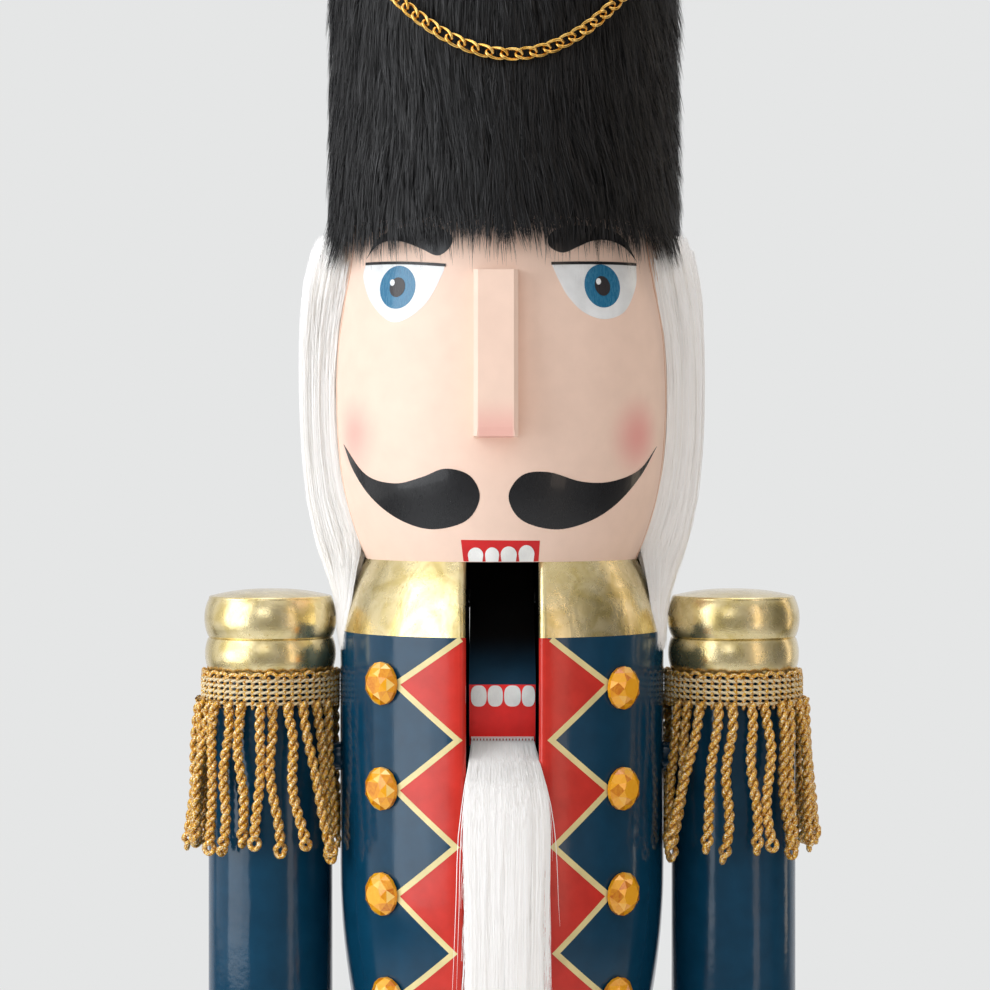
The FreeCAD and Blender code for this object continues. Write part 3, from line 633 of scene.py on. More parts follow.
class Painter:
    """Lays thin films of paint on the front of one CAD piece."""

    def __init__(self, node, body):
        self.body = body
        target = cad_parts[node]
        self.tree = BVHTree.FromObject(target, bpy.context.evaluated_depsgraph_get())

    def film(self, name, outline, material, lift=PAINT_LIFT, thickness=PAINT_THICKNESS, grid=PAINT_GRID):
        """Paint inside an (x, z) outline, seen from the front, in millimetres."""
        border = subdivided([tuple(p) for p in outline])
        points = [Vector(p) for p in border]
        corners = np.array(border)
        lo, hi = corners.min(axis=0), corners.max(axis=0)
        for x in np.arange(lo[0] + grid / 2, hi[0], grid):
            points += [Vector((x, z)) for z in np.arange(lo[1] + grid / 2, hi[1], grid)]
        flat, _, faces, *_ = delaunay_2d_cdt(points, [], [list(range(len(border)))], 1, 1e-4)
        used = sorted({corner for face in faces for corner in face})
        place = {corner: i for i, corner in enumerate(used)}
        top, bottom = [], []
        for x, z in [flat[corner] for corner in used]:
            hit, normal, *_ = self.tree.ray_cast(Vector((x * MM, RAY_START, z * MM)), Vector((0, 1, 0)))
            if hit is None:
                raise ValueError(f"{name}: nothing behind ({x:.1f}, {z:.1f})")
            top.append(hit / MM + normal * lift)
            bottom.append(hit / MM + normal * (lift - thickness))
        triangles = []
        for first, second, third in faces:
            turn = (flat[second] - flat[first]).cross(flat[third] - flat[first])
            loop = (first, second, third) if turn > 0 else (first, third, second)
            triangles.append([place[corner] for corner in loop])
        sides = {(tri[i], tri[(i + 1) % 3]) for tri in triangles for i in range(3)}
        under = len(top)
        solid = triangles + [[under + c, under + b, under + a] for a, b, c in triangles]
        for a, b in sides:
            if (b, a) not in sides:
                solid += [[b, a, under + a], [b, under + a, under + b]]
        made = mesh_object(name, top + bottom, solid, material)
        made.data.set_sharp_from_angle(angle=math.radians(40))
        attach(made, self.body)
        return made


class Tubes:
    """Gathers round cords into one mesh. Each keeps a phase that its material draws the thread's lay from."""

    def __init__(self):
        self.vertices, self.faces, self.phase = [], [], []
        self.count = 0

    def add(self, path, radius, sides=6, closed=False, lay=9.0):
        """A tube along (k, 3) points in millimetres. radius may be one number or one per point."""
        path = np.asarray(path, dtype=float)
        stations = len(path)
        if closed:
            tangent = np.roll(path, -1, axis=0) - np.roll(path, 1, axis=0)
        else:
            tangent = np.gradient(path, axis=0)
        tangent = unit(tangent)
        side = np.zeros_like(path)
        guess = np.cross(tangent[0], SKEW)
        for i in range(stations):
            guess = guess - tangent[i] * guess.dot(tangent[i])
            guess /= np.linalg.norm(guess)
            side[i] = guess
        other = np.cross(tangent, side)
        angle = 2 * math.pi * np.arange(sides) / sides
        radii = np.broadcast_to(np.asarray(radius, dtype=float), (stations,))
        ring = side[:, None] * np.cos(angle)[None, :, None] + other[:, None] * np.sin(angle)[None, :, None]
        points = path[:, None] + ring * radii[:, None, None]
        self.phase.append((run_length(path)[:, None] * lay + angle[None, :]).ravel())
        first = self.count + np.arange(stations)[:, None] * sides
        this = first + np.arange(sides)
        turn = first + np.roll(np.arange(sides), -1)
        rows = stations if closed else stations - 1
        nxt, nxt_turn = np.roll(this, -1, axis=0), np.roll(turn, -1, axis=0)
        self.faces.append(np.stack([this, turn, nxt_turn, nxt], axis=-1)[:rows].reshape(-1, 4))
        self.vertices.append(points.reshape(-1, 3))
        self.count += stations * sides
        if not closed:
            self.cap(self.count - stations * sides, sides, path[0])
            self.cap(self.count - sides, sides, path[-1], last=True)

    def cap(self, start, sides, centre, last=False):
        """Closes a tube's end with a fan of four-cornered faces, so sides is even."""
        ids = start + np.arange(sides)
        self.vertices.append(np.asarray(centre, dtype=float)[None])
        self.phase.append(np.zeros(1))
        hub = self.count
        self.count += 1
        fan = [[hub, ids[i], ids[i + 1], ids[(i + 2) % sides]] for i in range(0, sides, 2)]
        self.faces.append(np.array(fan if last else [face[::-1] for face in fan]))

    def build(self, name, material):
        return mesh_object(name, np.concatenate(self.vertices), np.concatenate(self.faces), material,
                           {"phase": np.concatenate(self.phase)})


class Profile:
    """The outline of a turned surface, as (radius, height) points in millimetres rising from its hem."""

    def __init__(self, points):
        self.points = np.array(points, dtype=float)
        self.stations = run_length(self.points)
        self.length = self.stations[-1]

    def at(self, arc):
        """Radius, height and outward normal (radial, upward) at arc lengths from the hem. Below the hem it
        goes straight down."""
        step = 1.5

        def place(a):
            radius = np.interp(a, self.stations, self.points[:, 0])
            height = np.interp(a, self.stations, self.points[:, 1])
            return radius, height + np.minimum(a, 0)

        radius, height = place(arc)
        (r0, z0), (r1, z1) = place(arc - step), place(arc + step)
        size = np.hypot(r1 - r0, z1 - z0) + TINY
        return radius, height, (z1 - z0) / size, (r0 - r1) / size


def waves(u, v, rng, size, count=6):
    """Smooth noise of about -1 to 1 over (u, v), made of crossing sine waves about size across."""
    total = np.zeros(np.broadcast(u, v).shape)
    for _ in range(count):
        heading, phase = rng.uniform(0, 2 * math.pi, 2)
        pitch = size * rng.uniform(0.7, 1.6)
        total += np.sin((u * math.cos(heading) + v * math.sin(heading)) * 2 * math.pi / pitch + phase)
    return total / math.sqrt(count)


def clump_pull(u, v, cell_u, cell_v, rng):
    """For each root, the sideways gap to the middle of its tuft, and the tuft's own random number."""
    row = np.floor(v / cell_v).astype(int)
    shift = (row % 2) * 0.5
    column = np.floor(u / cell_u + shift).astype(int)
    table = rng.random((3, TUFT_TABLE))
    key = (row * 131 + column * 17) % TUFT_TABLE
    middle = (column + 0.5 - shift + (table[0, key] - 0.5) * 0.7) * cell_u
    return middle - u, table[1, key], table[2, key]


def laid_strands(profile, azimuth, start, length, lift, sway):
    """Centrelines running down a turned surface from their roots, with the surface's normal at each point.
    lift is the height over the surface and sway the sideways shift, both (strands, stations)."""
    t = np.linspace(0, 1, lift.shape[1])
    radius, height, out, up = profile.at(start[:, None] - length[:, None] * t)
    radius, height = radius + out * lift, height + up * lift
    angle = azimuth[:, None] + sway / np.maximum(radius, 12.0)
    path = np.stack([radius * np.sin(angle), -radius * np.cos(angle), height], axis=-1)
    normal = np.stack([out * np.sin(angle), -out * np.cos(angle), up], axis=-1)
    return path, normal


def ribbons(name, path, normal, width, material, rng, tone, roll=0.5, tip=0.12):
    """One flat tapering strand along each centreline."""
    count, stations = path.shape[:2]
    t = np.linspace(0, 1, stations)
    side = unit(np.cross(unit(np.gradient(path, axis=1), TINY), normal), TINY)
    turn = np.clip(rng.normal(0, roll, count), -1.2, 1.2)[:, None, None]
    shine = normal * np.cos(turn * 0.6) - side * np.sin(turn * 0.6)
    side = side * np.cos(turn) + normal * np.sin(turn)
    taper = np.minimum(1.0, 0.6 + 2 * t) * (1 - (1 - tip) * t ** 2.2)
    half = side * (np.asarray(width).reshape(-1, 1) * taper / 2)[..., None]
    vertices = np.stack([path - half, path + half], axis=2).reshape(-1, 3)
    first = (np.arange(count)[:, None] * stations + np.arange(stations - 1)) * 2
    faces = np.stack([first, first + 1, first + 3, first + 2], axis=-1).reshape(-1, 4)
    return mesh_object(name, vertices, faces, material,
                       {"tone": np.repeat(tone, stations * 2), "along": np.tile(np.repeat(t, 2), count)},
                       normals=np.repeat(shine, 2, axis=1).reshape(-1, 3))


def shell(name, outer, inner, material, arc=(-math.pi, math.pi), segments=160):
    """A turned skin between two equally long lists of (radius, height). It has closed ends if it isn't a full
    turn."""
    full = arc[1] - arc[0] > 2 * math.pi - 1e-6
    columns = segments if full else segments + 1
    angle = arc[0] + (arc[1] - arc[0]) * np.arange(columns) / segments
    loop = np.array(list(outer) + list(inner)[::-1], dtype=float)
    rows = len(loop)
    radius, height = loop[None, :, 0], np.broadcast_to(loop[:, 1], (columns, rows))
    vertices = np.stack([radius * np.sin(angle)[:, None], -radius * np.cos(angle)[:, None], height],
                        axis=-1).reshape(-1, 3)
    faces = []
    for c in range(segments):
        d = (c + 1) % columns
        for r in range(rows):
            n = (r + 1) % rows
            faces.append([c * rows + r, d * rows + r, d * rows + n, c * rows + n])
    if not full:
        for c, flip in ((0, 1), (segments, -1)):
            for r in range(len(outer) - 1):
                corner = [c * rows + r, c * rows + r + 1, c * rows + rows - 2 - r, c * rows + rows - 1 - r]
                faces.append(corner[::flip])
    return mesh_object(name, vertices, faces, material)


# ---- hat -------------------------------------------------------------------------------------------------
FUR_ROOT_DEPTH = 3.6      # the pile's skin lies this far inside the CAD sleeve's outside
FUR_LEAN = 1.4            # the whole pile is brushed this far to the figure's left
FUR_OVERLAP = 0.05        # the four quarters of the pile run into each other by this angle
FUR_QUARTERS = {"front_left": (24000, -math.pi / 2, 0), "front_right": (24000, 0, math.pi / 2),
                "back_right": (18000, math.pi / 2, math.pi), "back_left": (18000, -math.pi, -math.pi / 2)}
CROWN_ROUND = 26.0        # rounding of the hat's top edge
CROWN_DEPTH = 60.0        # below this the skin is a plain wall
SKIN_THICKNESS = 1.6
GUARD_SHARE = 0.25        # strands of the hem that keep their full length
LINK_WIRE, LINK_LENGTH, LINK_WIDTH, LINK_PITCH = 0.68, 9.6, 5.5, 5.8
LINK_TWIST = math.radians(40)
LINK_ROUNDNESS = 0.86
CHAIN_SAG = 73.3
CHAIN_OFF_CENTRE = 3.3    # how far the chain's lowest point lies to one side

fur_material = pile_look("black_fur", FUR_BLACK, FUR_GLINT, 0.4, root=0.5)


def build_hat():
    skin, crown = HAT_RADIUS - FUR_ROOT_DEPTH, HAT_TOP - FUR_ROOT_DEPTH
    corner = [(skin - CROWN_ROUND * (1 - math.cos(a)), crown - CROWN_ROUND * (1 - math.sin(a)))
              for a in np.linspace(0, math.pi / 2, 9)]
    outline = [(skin - 0.6, HAT_HEM + 0.6), (skin, HAT_HEM + 8)] + corner + [(0.5, crown)]
    inner = [(r - SKIN_THICKNESS, z) if z < HAT_TOP - CROWN_DEPTH
             else (max(0.2, r - 1.4), z - SKIN_THICKNESS)
             for r, z in outline]
    inner[0] = (skin - 2.2, HAT_HEM + 0.8)
    core = shell("hat_fur_skin", outline, inner, fabric("fur_backing", (14, 14, 15), (6, 6, 7)))
    settle(core, "figure", "black_fur", "hat_fur")

    profile = Profile(outline)
    rng = np.random.default_rng(11)
    t = np.linspace(0, 1, 5)
    for label, (count, start_angle, end_angle) in FUR_QUARTERS.items():
        draw = rng.random(count)
        at_hem = count * 9 // 10
        root = np.concatenate([draw[:at_hem], draw[at_hem:] ** 2 * 0.12]) * (profile.length - 2)
        radius_here = np.interp(root, profile.stations, profile.points[:, 0])
        keep = rng.random(count) < np.clip(radius_here / skin + 0.12, 0, 1)
        root = root[keep]
        count = len(root)
        azimuth = rng.uniform(start_angle - FUR_OVERLAP, end_angle + FUR_OVERLAP, count)
        to_side = np.abs(np.sin(azimuth))
        across = azimuth * skin
        pull, tuft, tuft_rise = clump_pull(across, root, 3.6, 9.0, rng)
        lean = waves(across, root, rng, 60) * 1.5 + waves(across, root, rng, 18) * 0.8
        length = rng.uniform(12, 22, count) * (0.88 + 0.24 * tuft)
        trim = np.clip(0.5 + 0.5 * to_side ** 4 + root / 20, 0, 1)
        guard = rng.random(count) > 1 - GUARD_SHARE
        length = length * np.where(guard, np.maximum(trim, 0.95), trim)
        rise = 1.2 + 3.4 * rng.random(count) ** 1.3 + 1.2 * tuft_rise
        flare = (1 - ramp(root, 0, 16)) * ramp(to_side, 0.75, 1.0) * (2.0 + 6.0 * tuft)
        lift = (rise[:, None] * (1 - np.exp(-3.2 * t)) + tuft_rise[:, None] * t ** 3
                + flare[:, None] * t ** 1.5)
        stray = rng.normal(0, 0.8, count) * (1 + 2.4 * (rng.random(count) > 0.95))
        sway = (pull * 0.5)[:, None] * t ** 1.4 + (lean + stray)[:, None] * t
        path, normal = laid_strands(profile, azimuth, root, length, lift, sway)
        path[..., 0] += FUR_LEAN * t
        tone = np.clip(rng.beta(0.6, 3.2, count) + 0.06 * (tuft - 0.4), 0, 1)
        width = rng.uniform(0.17, 0.34, count)
        fur = ribbons(f"hat_fur_{label}", path, normal, width, fur_material, rng, tone)
        settle(fur, "figure", "black_fur")


def build_chain():
    """Curb links. Each is an oval twisted about its own length, so that neighbours pass through each other
    and the chain lies flat."""
    radius = -low("hat_chain").y - 2.2
    end_height = (low("chain_pins").z + high("chain_pins").z) / 2
    angles = np.linspace(-math.pi / 2, math.pi / 2, 3000)
    share = np.sin(angles)
    height = end_height - CHAIN_SAG * (1 - share ** 2) * (1 + 2 * CHAIN_OFF_CENTRE / radius * share)
    line = np.stack([radius * share, -radius * np.cos(angles), height], axis=1)
    run = run_length(line)
    margin = LINK_LENGTH / 2 - 2 * LINK_WIRE
    links = int(round((run[-1] - 2 * margin) / LINK_PITCH)) + 1
    turn = np.linspace(0, 2 * math.pi, 30, endpoint=False)
    u = squared(np.cos(turn), LINK_ROUNDNESS)
    v = squared(np.sin(turn), LINK_ROUNDNESS) * (LINK_WIDTH / 2 - LINK_WIRE)
    tilt = LINK_TWIST * u
    tubes = Tubes()
    for place in np.linspace(margin, run[-1] - margin, links):
        k = min(max(int(np.searchsorted(run, place)), 1), len(line) - 2)
        along = line[k + 1] - line[k - 1]
        along /= np.linalg.norm(along)
        outward = np.array([line[k][0], line[k][1], 0.0])
        outward /= np.linalg.norm(outward)
        across = np.cross(outward, along)
        across /= np.linalg.norm(across)
        normal = np.cross(along, across)
        path = (line[k] + (u * (LINK_LENGTH / 2 - LINK_WIRE))[:, None] * along
                + (v * np.cos(tilt))[:, None] * across + (v * np.sin(tilt))[:, None] * normal)
        tubes.add(path, LINK_WIRE, sides=10, closed=True)
    chain = tubes.build("hat_chain_links", metal("gold_chain", (255, 214, 130), (214, 160, 70), 0.16))
    settle(chain, "chain", "gold_metal", "hat_chain")


# ---- hair and beard --------------------------------------------------------------------------------------
# the hair's outside, as (radius, height above the chin), from the shoulder up to the hat
HAIR_FALL = [(69.2, -38), (69.6, -18), (72.6, -8), (77.5, 6), (81.6, 25), (83.9, 50), (84.6, 82), (84.2, 108),
             (81.0, 128)]
HAIR_UNDER_HAT = 77.0     # the hair's radius where the hat covers it
HAIR_BOTTOM = CHIN - 38
HAIR_MEAN = 76.0          # a typical radius, which turns angles into widths
# how deep the backing lies under the hair's outside, by height
HAIR_SKINS = (CHIN - 24, 1.2), (CHIN - 8, 2.4), (CHIN + 10, 4.0)
HAIR_BEHIND, HAIR_EDGE = 8000, 4400     # strands on one side: round the head, and along the face
# the hair stops short here, above the shoulder piece
SHOULDER_SPAN = math.radians(84), math.radians(114)
BEARD_STRANDS, BEARD_LOOSE = 9600, 90
BEARD_SHIFT = 0.8         # the beard hangs this far off the middle
BEARD_REAR = -70.2        # how far back the beard reaches, in front of the chest
CHEST_CLEARANCE = -68.5   # loose strands stay in front of this
FORWARD = np.array([0.0, -1.0, 0.0])

pile_material = pile_look("white_pile", PILE_SHADE, PILE_WHITE, 0.6, root=1.0, glow=0.1, bloom=0.5)


def skin_radius(height):
    """How far the head or the collar reaches from the middle, at the side, in millimetres."""
    widest = 0.0
    for tree in SIDE_TREES:
        hit, *_ = tree.ray_cast(Vector((-0.2, 0, height * MM)), Vector((1, 0, 0)))
        if hit is not None:
            widest = max(widest, -hit.x / MM)
    return widest


def pile_tone(rng, tuft):
    return np.clip(rng.normal(0.6, 0.2, len(tuft)) + 0.1 * (tuft - 0.5), 0, 1)


def build_hair():
    """Long white pile from under the hat, round the sides and back, down past the collar."""
    top = HAT_HEM - 2
    fall = [(r, CHIN + z) for r, z in HAIR_FALL] + [(HAIR_UNDER_HAT, top)]
    heights = np.arange(HAIR_BOTTOM, top + 8, 4.0)
    skins = np.array([skin_radius(z) for z in heights])
    base_rows = np.linspace(HAIR_SKINS[0][0], top, 13)
    bury = np.interp(base_rows, *zip(*HAIR_SKINS))
    radii, levels = zip(*fall)
    outer = [(np.interp(z, levels, radii) - b, z) for z, b in zip(base_rows, bury)]
    inner = [(min(np.interp(z, heights, skins) + 0.6, r - 0.6), z) for r, z in outer]
    base = shell("hair_base", outer, inner, pile_base(),
                 arc=(FACE_EDGE_LEFT + 0.03, 2 * math.pi - FACE_EDGE_RIGHT - 0.03))
    for vertex in base.data.vertices:       # beside the face the backing's edge is pressed to the skin
        x, y, z = vertex.co / MM
        if y < 30 and math.hypot(x, y) < np.interp(z, heights, skins) + 1:
            vertex.co.xy *= 1 - 1.6 / math.hypot(x, y)
    settle(base, "figure", "white_pile", "hair_wig")

    profile = Profile(fall)
    rng = np.random.default_rng(23)
    t = np.linspace(0, 1, 9)
    count = HAIR_BEHIND + HAIR_EDGE
    at_edge = np.arange(count) >= HAIR_BEHIND
    for label, sign, edge in (("left", 1, FACE_EDGE_LEFT), ("right", -1, FACE_EDGE_RIGHT)):
        span = math.pi - edge
        azimuth = np.concatenate([edge + 0.02 + (span + 0.03) * rng.random(HAIR_BEHIND) ** 1.15,
                                  edge + np.abs(rng.normal(0, 0.045, HAIR_EDGE))])
        root = profile.length - rng.random(count) ** 1.6 * 96
        root = np.where(at_edge, profile.length - rng.random(count) * 150, root)
        short_wisp = at_edge & (rng.random(count) > 0.6)
        root = np.where(short_wisp, rng.uniform(45, 85, count), root)
        pull, tuft, _ = clump_pull(azimuth * HAIR_MEAN, root * 0 + 3, 5.0, 40.0, rng)
        finish = 12 + rng.normal(0, 5.0, count) + 12 * tuft
        over_shoulder = (azimuth > SHOULDER_SPAN[0]) & (azimuth < SHOULDER_SPAN[1])
        finish = np.where(over_shoulder, np.maximum(finish, 27 + 4 * tuft), finish)
        long_wisp = at_edge & (rng.random(count) > 0.8) & ~over_shoulder
        finish = np.where(long_wisp, rng.uniform(0, 14, count), finish)
        length = np.maximum(22.0, root - finish)
        depth = np.where(at_edge, rng.random(count), rng.uniform(0.72, 1, count) ** 0.6)
        radius, height, *_ = profile.at(root[:, None] - length[:, None] * t)
        gap = np.maximum(radius - np.interp(height, heights, skins) - 0.4, 0.3)
        lift = -gap * (1 - depth[:, None]) + rng.normal(0, 0.25, count)[:, None]
        lift = lift + 0.9 * (tuft[:, None] - 0.5) * np.sin(math.pi * t)
        lean = waves(azimuth * HAIR_MEAN, root, rng, 50) * 1.6
        stray = rng.normal(0, 1.0, count) * (1 + 3.0 * (rng.random(count) > 0.97))
        ripple = np.sin(t * rng.uniform(4, 9, count)[:, None] + rng.uniform(0, 6, count)[:, None]) * 0.5
        sway = (pull * 0.45)[:, None] * t ** 1.2 + (lean + stray)[:, None] * t + ripple * t
        near_face = np.clip(1 - (azimuth - edge) / 0.3, 0, 1)[:, None]
        sway = np.where(sway < 0, sway * (1 - 0.8 * near_face), sway)
        below_chin = ramp(CHIN - height, 0, 20)
        up = ramp(height - CHIN, 80, 125)
        under_hat = up ** 2 * (3 - 2 * up)
        hug = 4.0 + 6.0 * (1 - depth[:, None])
        sway = sway - near_face * (below_chin * hug + under_hat * EDGE_DRIFT * radius)
        path, normal = laid_strands(profile, azimuth, root, length, lift, sway)
        normal = unit(normal + FORWARD * (near_face * at_edge[:, None] * 0.8)[..., None])
        path[..., 0] *= sign
        normal[..., 0] *= sign
        tone = pile_tone(rng, tuft)
        width = rng.uniform(0.24, 0.5, count)
        hair = ribbons(f"hair_{label}", path, normal, width, pile_material, rng, tone)
        settle(hair, "figure", "white_pile")


def build_beard():
    """Straight pile that springs from the hem tape and hangs down the front of the chest."""
    hem_y, hem_z = low("beard_hem").y - 0.5, low("beard_hem").z + 0.9
    bottom, front, rear = low("beard").z, low("beard").y, BEARD_REAR
    middle = (front + rear) / 2
    rings = [(hem_z - 3.5, hem_y - 3.0, 10.8, 0.6), (hem_z - 9, hem_y - 14, 11.2, 2.2),
             (hem_z - 20, middle + 1.2, 12.0, 3.0), (hem_z - 42, middle, 12.8, 3.9),
             (hem_z - 80, middle, 12.2, 3.7), (bottom + 18, middle + 2, 8.4, 2.4),
             (bottom + 9, middle + 3, 4.2, 1.2)]
    sides = 24
    turn = [2 * math.pi * i / sides for i in range(sides)]
    vertices = [(half_width * squared(math.cos(a), 0.7) + BEARD_SHIFT, y + half_depth * math.sin(a), z)
                for z, y, half_width, half_depth in rings for a in turn]
    faces = [[r + (i + 1) % sides, r + i, r + sides + i, r + sides + (i + 1) % sides]
             for r in range(0, (len(rings) - 1) * sides, sides) for i in range(sides)]
    for start, flip in ((0, 1), ((len(rings) - 1) * sides, -1)):
        faces += [[start + i, start + i + 1, start + sides - 2 - i, start + sides - 1 - i][::flip]
                  for i in range(sides // 2 - 1)]
    settle(mesh_object("beard_core", vertices, faces, pile_base()), "beard", "white_pile", "beard")

    rng = np.random.default_rng(37)
    count = BEARD_STRANDS
    x0 = rng.uniform(-12.4, 12.8, count)
    depth = rng.random(count) ** 0.6
    short = rng.random(count) > 0.8
    drop = np.where(short, rng.uniform(30, 95, count), rng.uniform(95, hem_z - bottom + 3, count))
    t = np.linspace(0, 1, 11)
    q = drop[:, None] * t ** 1.25
    tuft_gap, tuft, _ = clump_pull(x0, x0 * 0 + 2, 4.2, 50.0, rng)
    reach = (hem_y - rear) + depth * (rear - front)
    y = hem_y - reach[:, None] * (1 - np.exp(-(q / 9.0) ** 1.1)) + ramp(q, 70, 130) * depth[:, None] * 5.0
    spread = (1 + (0.3 * (1 - np.exp(-(q / 13.0) ** 1.4)) - 0.08 * ramp(q, 34, 60))
              - 0.12 * ramp(q, 100, 130))
    ripple = np.sin(q / rng.uniform(9, 17, count)[:, None] + rng.uniform(0, 6.3, count)[:, None])
    x = BEARD_SHIFT * ramp(q, 0, 20) + x0[:, None] * spread
    x = x + (tuft_gap * 0.5)[:, None] * ramp(q, 0, 60)
    x = x + ripple * 0.4 * ramp(q, 0, 30) + rng.normal(0, 0.8, count)[:, None] * t
    stray = (rng.random(count) > 0.985)[:, None]
    x = x + stray * rng.normal(0, 3.4, count)[:, None] * t
    path = np.stack([x, y, hem_z - q], axis=-1)
    normal = unit(np.stack([x / 34, np.full_like(x, -1.0), np.full_like(x, 0.12)], axis=-1))
    tone = pile_tone(rng, tuft)
    width = rng.uniform(0.22, 0.44, count)
    strands = ribbons("beard_strands", path, normal, width, pile_material, rng, tone)
    settle(strands, "beard", "white_pile")

    count = BEARD_LOOSE
    side = np.where(rng.random(count) > 0.45, 1.0, -1.0)
    start = rng.uniform(4, 100, count)
    span = rng.uniform(14, 40, count)
    curl = rng.uniform(0.6, 3.4, count)[:, None] * np.sin(math.pi * t * rng.uniform(0.4, 0.9, count)[:, None])
    x = side[:, None] * (12.6 + 1.2 * ramp(start, 0, 20)[:, None] + curl) + BEARD_SHIFT
    z = hem_z - start[:, None] - span[:, None] * t + rng.uniform(-3, 3, count)[:, None] * t ** 2
    y = np.minimum(rear - 1.5 - 3 * rng.random(count)[:, None] * (1 - t), CHEST_CLEARANCE)
    y = hem_y - (hem_y - y) * (1 - np.exp(-(hem_z - z) / 6))
    path = np.stack([x, y, z], axis=-1)
    width, tone = rng.uniform(0.14, 0.22, count), rng.uniform(0.6, 1.0, count)
    normal = np.broadcast_to(FORWARD, path.shape)
    flyaways = ribbons("beard_flyaways", path, normal, width, pile_material, rng, tone, tip=0.5)
    settle(flyaways, "beard", "white_pile")


# ---- fringe ----------------------------------------------------------------------------------------------
CORD_PLY = 1.12           # radius of one of the two plies of a bullion cord
CORD_PITCH = 6.3          # cord to cord round the header
CORD_TWIST = 9.6          # length of one full turn of the plies
CORD_LAY = 2.6            # turns of the thread's lay along a ply, and along a warp
WARP_LAY = 2.4
WARPS, PICOTS = 54, 32
WEFT_RADIUS, WARP_RADIUS, PICOT_RADIUS = 0.54, 0.76, 0.86
CHEST_GAP = math.radians(24)            # no cords hang within this angle of the chest
# cords round here are pushed over the chest's edge
SWEEP_CENTRE, SWEEP_SPAN = math.radians(58), math.radians(30)


def cord_path(axis, turns, stations):
    """Down one ply, round the looped end and back up the other, as one line about a cord's axis."""
    t = np.linspace(0, 1, stations)
    centre = np.stack([np.interp(t, np.linspace(0, 1, len(axis)), axis[:, i]) for i in range(3)], axis=1)
    tangent = unit(np.gradient(centre, axis=0))
    first = unit(np.cross(tangent, [0.3, 0.9, 0.1]))
    second = np.cross(tangent, first)
    theta = 2 * math.pi * turns * t
    ring = first * np.cos(theta)[:, None] + second * np.sin(theta)[:, None]
    opened = 1 + 0.75 * ramp(t, 0.92, 0.98)[:, None]
    down = centre + ring * CORD_PLY * opened
    up = (centre - ring * CORD_PLY * opened)[::-1]
    eye = CORD_PLY * opened[-1]
    bend = [centre[-1] + eye * (math.cos(a) * ring[-1] + 1.1 * math.sin(a) * tangent[-1])
            for a in np.linspace(0, math.pi, 9)[1:-1]]
    return np.concatenate([down, bend, up])


